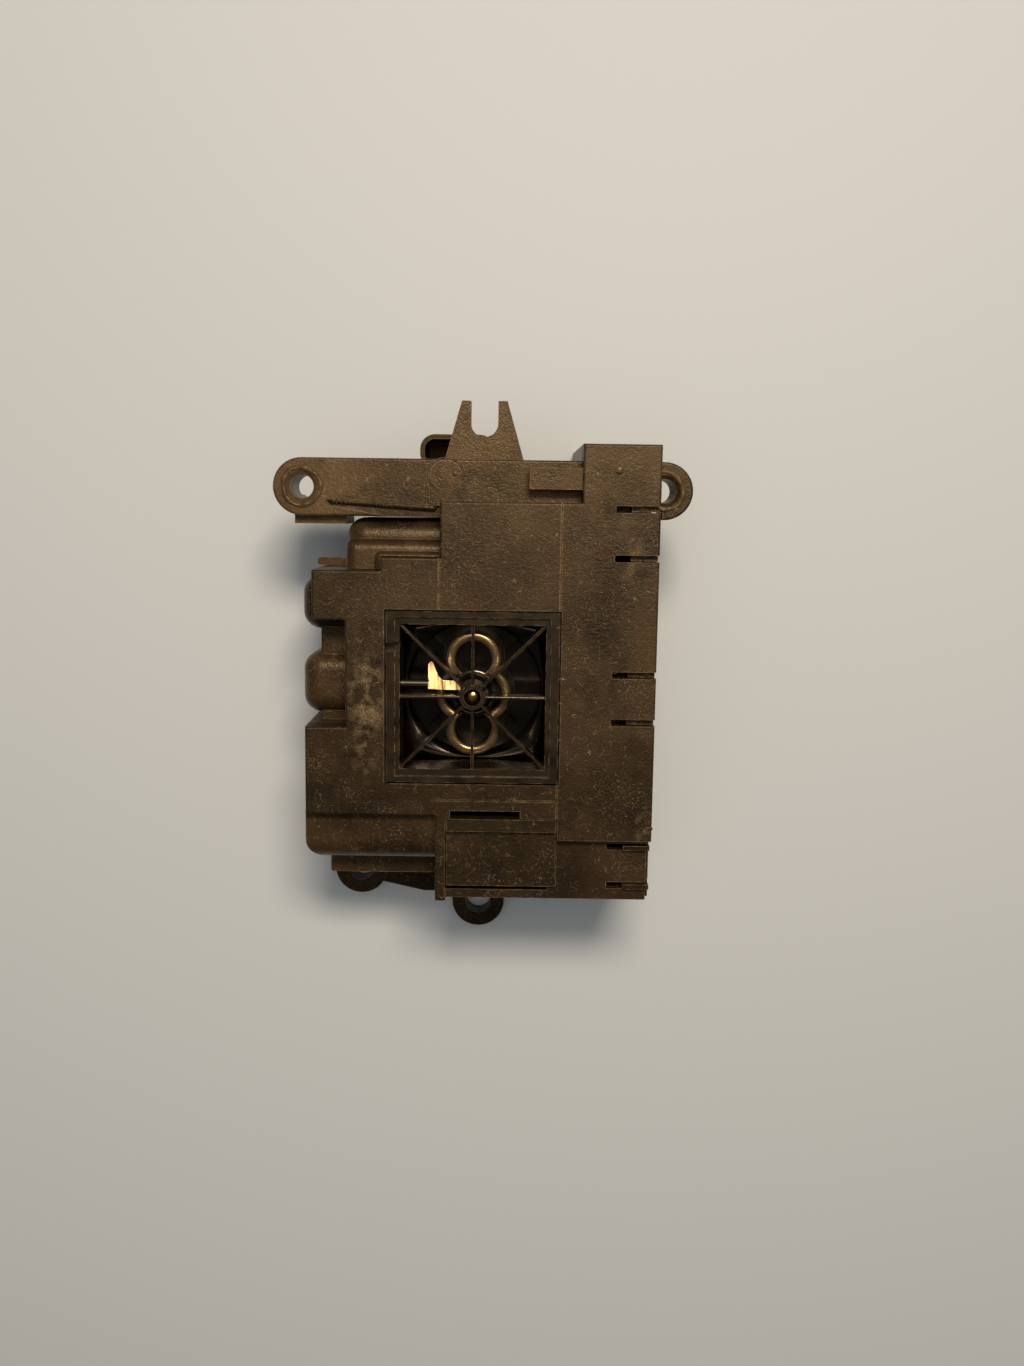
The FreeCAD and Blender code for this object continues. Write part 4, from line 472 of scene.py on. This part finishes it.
# A polished spring leaf stands out from the well's left wall over the collar and reflects the lamp; its
# blackened arm is pinned to the wall.
leaf_down, leaf_left = 0.0054, -0.0102
leaf_top = frame_top - leaf_down
leaf_steel = Weaver("spring_leaf")
streaks = leaf_steel.band(leaf_steel.noise(1.0, 3.0, leaf_steel.stretched((1100, 160, 160))), 0.40, 0.60)
fine_lines = leaf_steel.noise(1.0, 2.0, leaf_steel.stretched((6000, 300, 300)))
leaf_steel.finish(colour=leaf_steel.blend(streaks, (0.13, 0.07, 0.025), (0.80, 0.56, 0.25)),
                  rough=leaf_steel.span(fine_lines, 0.12, 0.34))
leaf_steel.fix(Metallic=1.0)
leaf_points = sloping_leaf(leaf_left, right=-0.0028, low=0.0010, top=leaf_top, fall=0.17)
leaf = skin("spring_leaf", leaf_points, leaf_steel.material, "casing", across=True)
arm_sunk, arm_lap, arm_down, arm_thick = 0.0004, 0.0006, 0.00050, 0.00018
arm_y, arm_half = 0.0022, 0.0011
arm_run = np.linspace(0, 1, 24)[:, None]
arm_edge = np.array([[-1.0, 1.0, 1.0, -1.0]])
arm_flat = np.array([[0.0, 0.0, arm_thick, arm_thick]])
arm_long = well_half + leaf_left + arm_lap
arm_points = np.stack([-well_half - arm_sunk + arm_long * arm_run + 0 * arm_edge,
                       arm_y + arm_half * arm_edge + 0 * arm_run,
                       leaf_top - arm_down + arm_flat + 0 * arm_run], axis=-1)
leaf_arm = skin("leaf_arm", arm_points, black_gloss("blackened_arm", rough=0.22), "casing", across=True)

# A polished black cone inside the collar, round the spindle, throws a white glint up past the bearing.
seat_in, seat_out = 0.0036, 0.0062
seat_down = np.array([0.0004, 0.0010, 0.0016, 0.0016])
seat_gloss = black_gloss("seat_gloss", rough=0.07, colour=(0.006, 0.005, 0.004))
seat = revolve("collar_seat", [seat_in, seat_out, seat_out, seat_in], collar_high.z - seat_down, (0, 0),
               seat_gloss, "spindle_set", 96)

# Each spoke has a rounded crown, smoothed in the mould, from the bearing out to the frame.
crown_nylon = black_gloss("crown_gloss", rough=0.12, colour=(0.012, 0.0075, 0.0042))
crown_down, crown_r, crown_taper, crown_flat = 0.0016, 0.00029, 0.15, 0.85
crown_z = frame_top - crown_down
spoke_from, frame_in, spoke_short = 0.0029, 0.0163, 0.0002
over = np.linspace(0, 2 * np.pi, 12, endpoint=False)[None, :]
out = np.linspace(0, 1, 30)[:, None]
for number in range(8):
    angle = number * np.pi / 4
    spoke_to = frame_in * (np.sqrt(2) if number % 2 else 1) - spoke_short
    reach = spoke_from + (spoke_to - spoke_from) * out
    slim = crown_r * (1 - crown_taper * out)
    sideways = slim * np.cos(over)
    crown = np.stack([reach * np.cos(angle) - sideways * np.sin(angle),
                      reach * np.sin(angle) + sideways * np.cos(angle),
                      crown_z + crown_flat * slim * np.sin(over)], axis=-1)
    skin(f"spoke_crown_{number}", crown, crown_nylon, "casing", across=True)

# The spindle's nose ends in a polished dome inside the front bearing.
polished_bronze = Weaver("polished_bronze")
mottled = polished_bronze.noise(0.0012)
polished_bronze.finish(colour=polished_bronze.blend(mottled, (0.20, 0.12, 0.05), (0.62, 0.42, 0.20)),
                       rough=polished_bronze.span(polished_bronze.noise(0.0007), 0.10, 0.34))
polished_bronze.fix(Metallic=1.0)
climb = np.linspace(0, np.pi / 2, 14)
dome_r, dome_rise, dome_sunk = 0.00165, 0.0009, 0.0002
dome_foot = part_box("spindle")[1].z - dome_sunk
dome = revolve("spindle_dome", np.append(dome_r * np.cos(climb), 0.0),
               np.append(dome_foot + dome_rise * np.sin(climb), dome_foot), (0, 0),
               polished_bronze.material, "spindle_set", 48)

# ---- Rims and marks moulded on the bar ----------------------------------------------------------------
# Each ear hole has a rough raised rim where flash was left, and the slanted groove under the bar holds a
# thin dark strip with small plain ribs. All are part of the same nylon moulding.
mounts = {mount["name"]: mount for mount in frame["record"]["mounts"]}
ear_middle = Vector(mounts["ear_holes"]["pos_m"])
ear_reach = mounts["ear_holes"]["dims"]["spacing_x_mm"] / 2000
hole_r = mounts["ear_holes"]["dims"]["hole_r_mm"] / 1000
cover_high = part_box("front_cover")[1]
bar_down = 0.006
bar_top = cover_high.z - bar_down
flash_nylon = moulded_nylon("flash_nylon", sheen_strength=0.9, dust=0.5, edge=0.9)
flash_out = 0.0015


def ear_rim(name, x, y, seed):
    """A ring whose section is a low ellipse; its radius wavers with the angle as a sum of sines."""
    turn = np.linspace(0, 2 * np.pi, 160, endpoint=False)[:, None]
    about = np.linspace(0, 2 * np.pi, 14, endpoint=False)[None, :]
    waver = 0.00012 * np.sin(3 * turn + seed) + 0.00005 * np.sin(8 * turn + 2 * seed)
    wide = 0.00055 + 0.00010 * np.sin(5 * turn + seed)
    radius = hole_r + flash_out + waver + wide * np.cos(about)
    height = bar_top + (0.00030 + 0.00006 * np.sin(9 * turn + seed)) * np.sin(about)
    ring = np.stack([x + radius * np.cos(turn), y + radius * np.sin(turn), height], axis=-1)
    rim = skin(name, ring, flash_nylon, "casing", around=True, across=True)


for number, side in enumerate((-1, 1)):
    ear_rim(f"ear_rim_{number}", ear_middle.x + side * ear_reach, ear_middle.y, 1.3 + 2 * number)


def cushion(centre, half, power, steps=(28, 15)):
    """A rounded block: a superellipsoid whose power sets how square its sides are."""
    around = np.linspace(-np.pi, np.pi, steps[0], endpoint=False)[:, None]
    upward = np.linspace(-np.pi / 2, np.pi / 2, steps[1])[None, :]

    def bent(wave):
        return np.sign(wave) * np.abs(wave) ** power

    ring = np.abs(np.cos(upward)) ** power
    return np.stack([centre[0] + half[0] * ring * bent(np.cos(around)),
                     centre[1] + half[1] * ring * bent(np.sin(around)),
                     centre[2] + half[2] * bent(np.sin(upward)) + 0 * around], axis=-1)


strip_left, strip_right = ear_middle.x - 0.0345, ear_middle.x - 0.0102
strip_slope, strip_below, strip_down, strip_thick = -0.055, 0.0031, 0.0007, 0.0006
strip_dark = moulded_nylon("strip_nylon", sheen_strength=0.0, dust=0.3, edge=0.6)


def on_strip(x):
    """The height across the bar of the strip's middle line, which falls a little towards the right."""
    return ear_middle.y - strip_below + strip_slope * (x - strip_left)


along = np.linspace(0, 1, 40)[:, None]
about = np.linspace(0, 2 * np.pi, 24, endpoint=False)[None, :]
strip_x = strip_left + (strip_right - strip_left) * along
taper = np.clip(np.minimum(along, 1 - along) * 40, 0.02, 1) ** 0.5
strip_wide = 0.0005 + 0.0003 * along
strip_points = np.stack([strip_x + 0 * about,
                         on_strip(strip_x) + taper * strip_wide * np.cos(about),
                         bar_top - strip_down + taper * strip_thick * np.sin(about)], axis=-1)
strip = skin("groove_strip", strip_points, strip_dark, "casing", across=True)

rib_half, rib_down = (0.00022, 0.00055, 0.00035), 0.0002
rib_places = [strip_left + 0.0012 + 0.0009 * k for k in range(4)]
rib_places += [strip_left + 0.0108 + 0.0008 * k for k in range(5)]
for number, x in enumerate(rib_places):
    rib_block = cushion((x, on_strip(x), bar_top - rib_down), rib_half, power=0.5)
    rib = skin(f"strip_rib_{number}", rib_block, strip_dark, "casing", around=True)

# A thin round line is pressed into the bar where the ejector pin met it.
ejector_x, ejector_y, ejector_r = -0.0065, 0.0490, 0.0039
line_wide, line_rise = 0.00016, 0.00006
ejector_line = revolve("ejector_line", ejector_r + line_wide * np.array([-1, 0, 1, 0]),
                       bar_top + line_rise * np.array([0, 1, 0, -1]), (ejector_x, ejector_y), strip_dark,
                       "casing", 96)

# ---- Bright bumps and gates on the casings ------------------------------------------------------------
# Small flattened gate stubs where the nylon entered the mould, and small raised bumps along the frame and
# the cover's edges, all in the palest nylon. The three at the frame's right side are painted glints of light
# showing through the gap round the frame.
bright_bump_nylon = moulded_nylon("bright_bump_nylon", sheen_strength=1.0, dust=0.9, edge=1.0)
bump_narrow, bump_rise = 0.55, 0.3
# The first three, at the frame's right side, are painted glints: light showing through the gap round the
# frame.
bright_bump_spots = [(0.0198, 0.0046, 0.0005), (0.0198, -0.0009, 0.0004), (0.0197, -0.0093, 0.0005),
              (cover_high.x - 0.0006, -0.0292, 0.0008), (0.0189, 0.0160, 0.0004), (0.0026, -0.0205, 0.0004),
              (-0.0212, 0.0031, 0.0005), (0.0330, 0.0257, 0.0004), (0.0068, 0.0302, 0.0004)]
for number, (x, y, half) in enumerate(bright_bump_spots):
    bright_bump_block = cushion((x, y, cover_high.z), (half, bump_narrow * half, bump_rise * half), power=0.8)
    bright_bump = skin(f"burr_{number}", bright_bump_block, bright_bump_nylon, "casing", around=True)
gate_spots = [(-0.0045, 0.0495, 0.0006, bar_top), (-0.0028, 0.0484, 0.0004, bar_top),
              (0.0315, 0.0505, 0.0009, cover_high.z)]
gate_rise = 0.00035
for number, (x, y, radius, height) in enumerate(gate_spots):
    stub = revolve(f"gate_{number}", [0, radius, 0.96 * radius, 0.8 * radius, 0],
                   height + gate_rise * np.array([-1, -1, 0.6, 1, 1]), (x, y), bright_bump_nylon, "casing", 28)

# ---- Gears --------------------------------------------------------------------------------------------
# Moulded acetal wheels, satin with a trace of grease, and sintered bronze for the bushes and the rotor's
# pinion.


def satin(name, low_colour, high_colour, rough, size=0.004, fine=0.0005, depth=0.00001, **fixed):
    """A satin finish: one colour clouding into another, fine surface texture, and sharp edges paled as wear
    and as painted edge highlight.
    """
    paint = Weaver(name)
    cloud = paint.band(paint.noise(size, 4.0), 0.35, 0.68)
    # Sharp edges paled: wear and painted edge highlight.
    edge_wear_and_highlight = paint.times(paint.sharp_edge_share(0.00012), 0.35)
    bright = tuple(min(1.0, 1.5 * part + 0.03) for part in high_colour)
    paint.finish(colour=paint.blend(edge_wear_and_highlight, paint.blend(cloud, low_colour, high_colour), bright),
                 rough=paint.span(paint.noise(size / 2), rough - 0.08, rough + 0.10))
    paint.emboss(paint.noise(fine, 2.0), depth)
    paint.fix(**fixed)
    return paint.material


repaint(satin("gear_acetal", (0.010, 0.008, 0.006), (0.026, 0.020, 0.014), 0.32), "spindle_gear",
        "reduction_gear")
bronze = satin("sintered_bronze", (0.42, 0.27, 0.11), (0.62, 0.44, 0.20), 0.42, 0.0015, 0.00025, Metallic=1.0)
repaint(bronze, "rear_bush", "motor_bushes", "motor_pinion")

# ---- Bearing plate, axle, shaft and fasteners ---------------------------------------------------------
# Zinc-plated sheet steel with rolling marks, and ground or plated steel pins, clips and screws.


def plated_steel(name, colour, rough, lines):
    """Bright plated metal with rolling lines, stretched by the given scales, and faint stains."""
    paint = Weaver(name)
    grain = paint.noise(1.0, 2.0, paint.stretched(lines))
    stain = paint.times(paint.band(paint.noise(0.006, 4.0), 0.52, 0.72), 0.5)
    dull = tuple(0.55 * part for part in colour)
    shade = paint.blend(stain, paint.blend(paint.times(grain, 0.5), colour, dull), (0.30, 0.27, 0.20))
    paint.finish(colour=shade, rough=paint.span(grain, rough - 0.1, rough + 0.18))
    paint.fix(Metallic=1.0)
    paint.emboss(grain, 0.000006)
    return paint.material


repaint(plated_steel("rolled_zinc", (0.62, 0.62, 0.60), 0.34, (120, 4200, 2000)), "bearing_plate")
repaint(plated_steel("drawn_steel", (0.58, 0.58, 0.57), 0.30, (400, 400, 6000)), "motor_can",
        "motor_end_plate")
repaint(plated_steel("ground_steel", (0.70, 0.70, 0.70), 0.20, (500, 500, 9000)), "idler_axle",
        "rotor_shaft")
repaint(plated_steel("plated_screw", (0.60, 0.58, 0.50), 0.28, (3000, 3000, 900)), "plate_screws",
        "switch_screws", "axle_clip", "retaining_ring")

# ---- Motor coil and magnet ----------------------------------------------------------------------------
# A natural nylon bobbin wound with enamelled copper wire, turn beside turn, round a ferrite magnet.
repaint(satin("natural_nylon", (0.62, 0.58, 0.46), (0.74, 0.70, 0.58), 0.45, Subsurface_Weight=0.08),
        "coil_bobbin")
repaint(satin("ferrite", (0.030, 0.030, 0.032), (0.070, 0.068, 0.068), 0.62, 0.001, 0.00015), "rotor_magnet")
wire_copper = satin("enamelled_copper", (0.40, 0.12, 0.035), (0.62, 0.23, 0.07), 0.22, 0.0009, Metallic=0.85,
                    Coat_Weight=0.5)
coil_low, coil_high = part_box("coil_winding")
coil_middle = (coil_low + coil_high) / 2
coil_r = (coil_high.x - coil_low.x) / 2
magnet_low, magnet_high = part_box("rotor_magnet")
bobbin_wall = 0.0015
coil_core = (magnet_high.x - magnet_low.x) / 2 + bobbin_wall
turns = 30
turn_step = (coil_high.z - coil_low.z) / turns
wave = np.linspace(0, turns, turns * 8 + 1)
outer_r = coil_r - turn_step / 2 + turn_step / 2 * np.abs(np.sin(np.pi * wave))
winding_r = np.concatenate([[coil_core], outer_r, [coil_core]])
winding_z = np.concatenate([[coil_low.z], coil_low.z + turn_step * wave, [coil_high.z]])
winding = revolve("wound_turns", winding_r, winding_z, coil_middle, wire_copper, "casing", 72)
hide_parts("coil_winding")

# ---- Switch -------------------------------------------------------------------------------------------
# A black thermoset snap-action switch with a red plunger and tinned brass blades.
repaint(satin("thermoset", (0.016, 0.016, 0.018), (0.034, 0.034, 0.036), 0.5, 0.002, 0.0002), "switch_case")
repaint(satin("red_acetal", (0.36, 0.030, 0.018), (0.50, 0.060, 0.035), 0.3), "switch_plunger")
tinned = satin("tinned_brass", (0.52, 0.47, 0.36), (0.72, 0.68, 0.58), 0.3, 0.001, Metallic=1.0)
repaint(tinned, "switch_terminals", "connector_pins", "capacitor_leads")

# ---- Circuit board and what is on it ------------------------------------------------------------------
# Glass-epoxy board under green mask with copper tracks, a blue relay, a yellow film capacitor and two
# insulated motor leads; solder cones hold the capacitor leads and the connector pins, and four lacquered
# resistors lie on the board.


def masked_board():
    """Green solder mask: weave showing through, and tracks as lighter bands of a cell pattern."""
    paint = Weaver("solder_mask")
    cells = paint.tree.nodes.new("ShaderNodeTexVoronoi")
    cells.feature = "DISTANCE_TO_EDGE"
    cells.distance = "EUCLIDEAN"
    paint.tree.links.new(paint.coords, cells.inputs["Vector"])
    cells.inputs["Scale"].default_value = 210.0
    cells.inputs["Randomness"].default_value = 0.35
    track = paint.times(paint.band(cells.outputs["Distance"], 0.16, 0.20), 0.75)
    weave = paint.noise(1.0, 1.0, paint.stretched((5200, 900, 900)))
    mask = paint.blend(weave, (0.010, 0.075, 0.022), (0.022, 0.120, 0.040))
    paint.finish(colour=paint.blend(track, mask, (0.055, 0.230, 0.065)),
                 rough=paint.span(paint.noise(0.002), 0.22, 0.42))
    paint.fix(Coat_Weight=0.4, Coat_Roughness=0.15)
    paint.emboss(track, 0.00004)
    return paint.material


repaint(masked_board(), "circuit_board")
repaint(satin("relay_blue", (0.020, 0.070, 0.270), (0.035, 0.105, 0.360), 0.26), "relay")
repaint(satin("film_yellow", (0.56, 0.36, 0.040), (0.70, 0.48, 0.070), 0.34, 0.002, 0.0006, 0.00002),
        "film_capacitor")
repaint(satin("lead_sleeve", (0.42, 0.39, 0.34), (0.56, 0.53, 0.47), 0.5), "motor_leads")

board_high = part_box("circuit_board")[1]
solder = satin("solder", (0.50, 0.50, 0.50), (0.72, 0.72, 0.72), 0.2, 0.0006, Metallic=1.0)
lead_low, lead_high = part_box("capacitor_leads")
pin_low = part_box("connector_pins")[0]
leg_half, pin_pitch = 0.0004, 0.0019
lead_y = (lead_low.y + lead_high.y) / 2
joint_spots = [(lead_low.x + leg_half, lead_y), (lead_high.x - leg_half, lead_y)]
joint_spots += [(pin_low.x + leg_half + pin_pitch * k, pin_low.y + leg_half) for k in range(4)]
cone_foot, cone_slim, cone_high = 0.00105, 0.00065, 0.0009
climb = np.linspace(0, 1, 9)
for number, place in enumerate(joint_spots):
    cone_r = np.concatenate([cone_foot - cone_slim * climb ** 0.5, [0.0, 0.0]])
    cone_z = board_high.z + np.concatenate([cone_high * climb, [cone_high, 0.0]])
    cone = revolve(f"solder_{number}", cone_r, cone_z, place, solder, "casing", 24)

resistor_body = satin("resistor_lacquer", (0.46, 0.36, 0.22), (0.58, 0.47, 0.31), 0.35, 0.001, 0.0002)
resistor_r, resistor_half, resistor_up = 0.0011, 0.0031, 0.0014
resistor_in, resistor_y, resistor_pitch = 0.0238, -0.0010, 0.0040
lie = np.linspace(-1, 1, 41)[:, None]
about = np.linspace(0, 2 * np.pi, 28, endpoint=False)[None, :]
bulge = resistor_r * (0.80 + 0.20 * np.cos(np.clip(np.abs(lie) - 0.55, 0, 0.35) / 0.35 * np.pi) ** 3)
bulge = bulge * np.sqrt(np.clip(1 - np.abs(lie) ** 24, 0, 1))
for number in range(4):
    x, y = board_high.x - resistor_in, resistor_y + resistor_pitch * number
    barrel = np.stack([x + resistor_half * lie + 0 * about, y + bulge * np.cos(about),
                       board_high.z + resistor_up + bulge * np.sin(about)], axis=-1)
    resistor = skin(f"resistor_{number}", barrel, resistor_body, "casing", across=True)
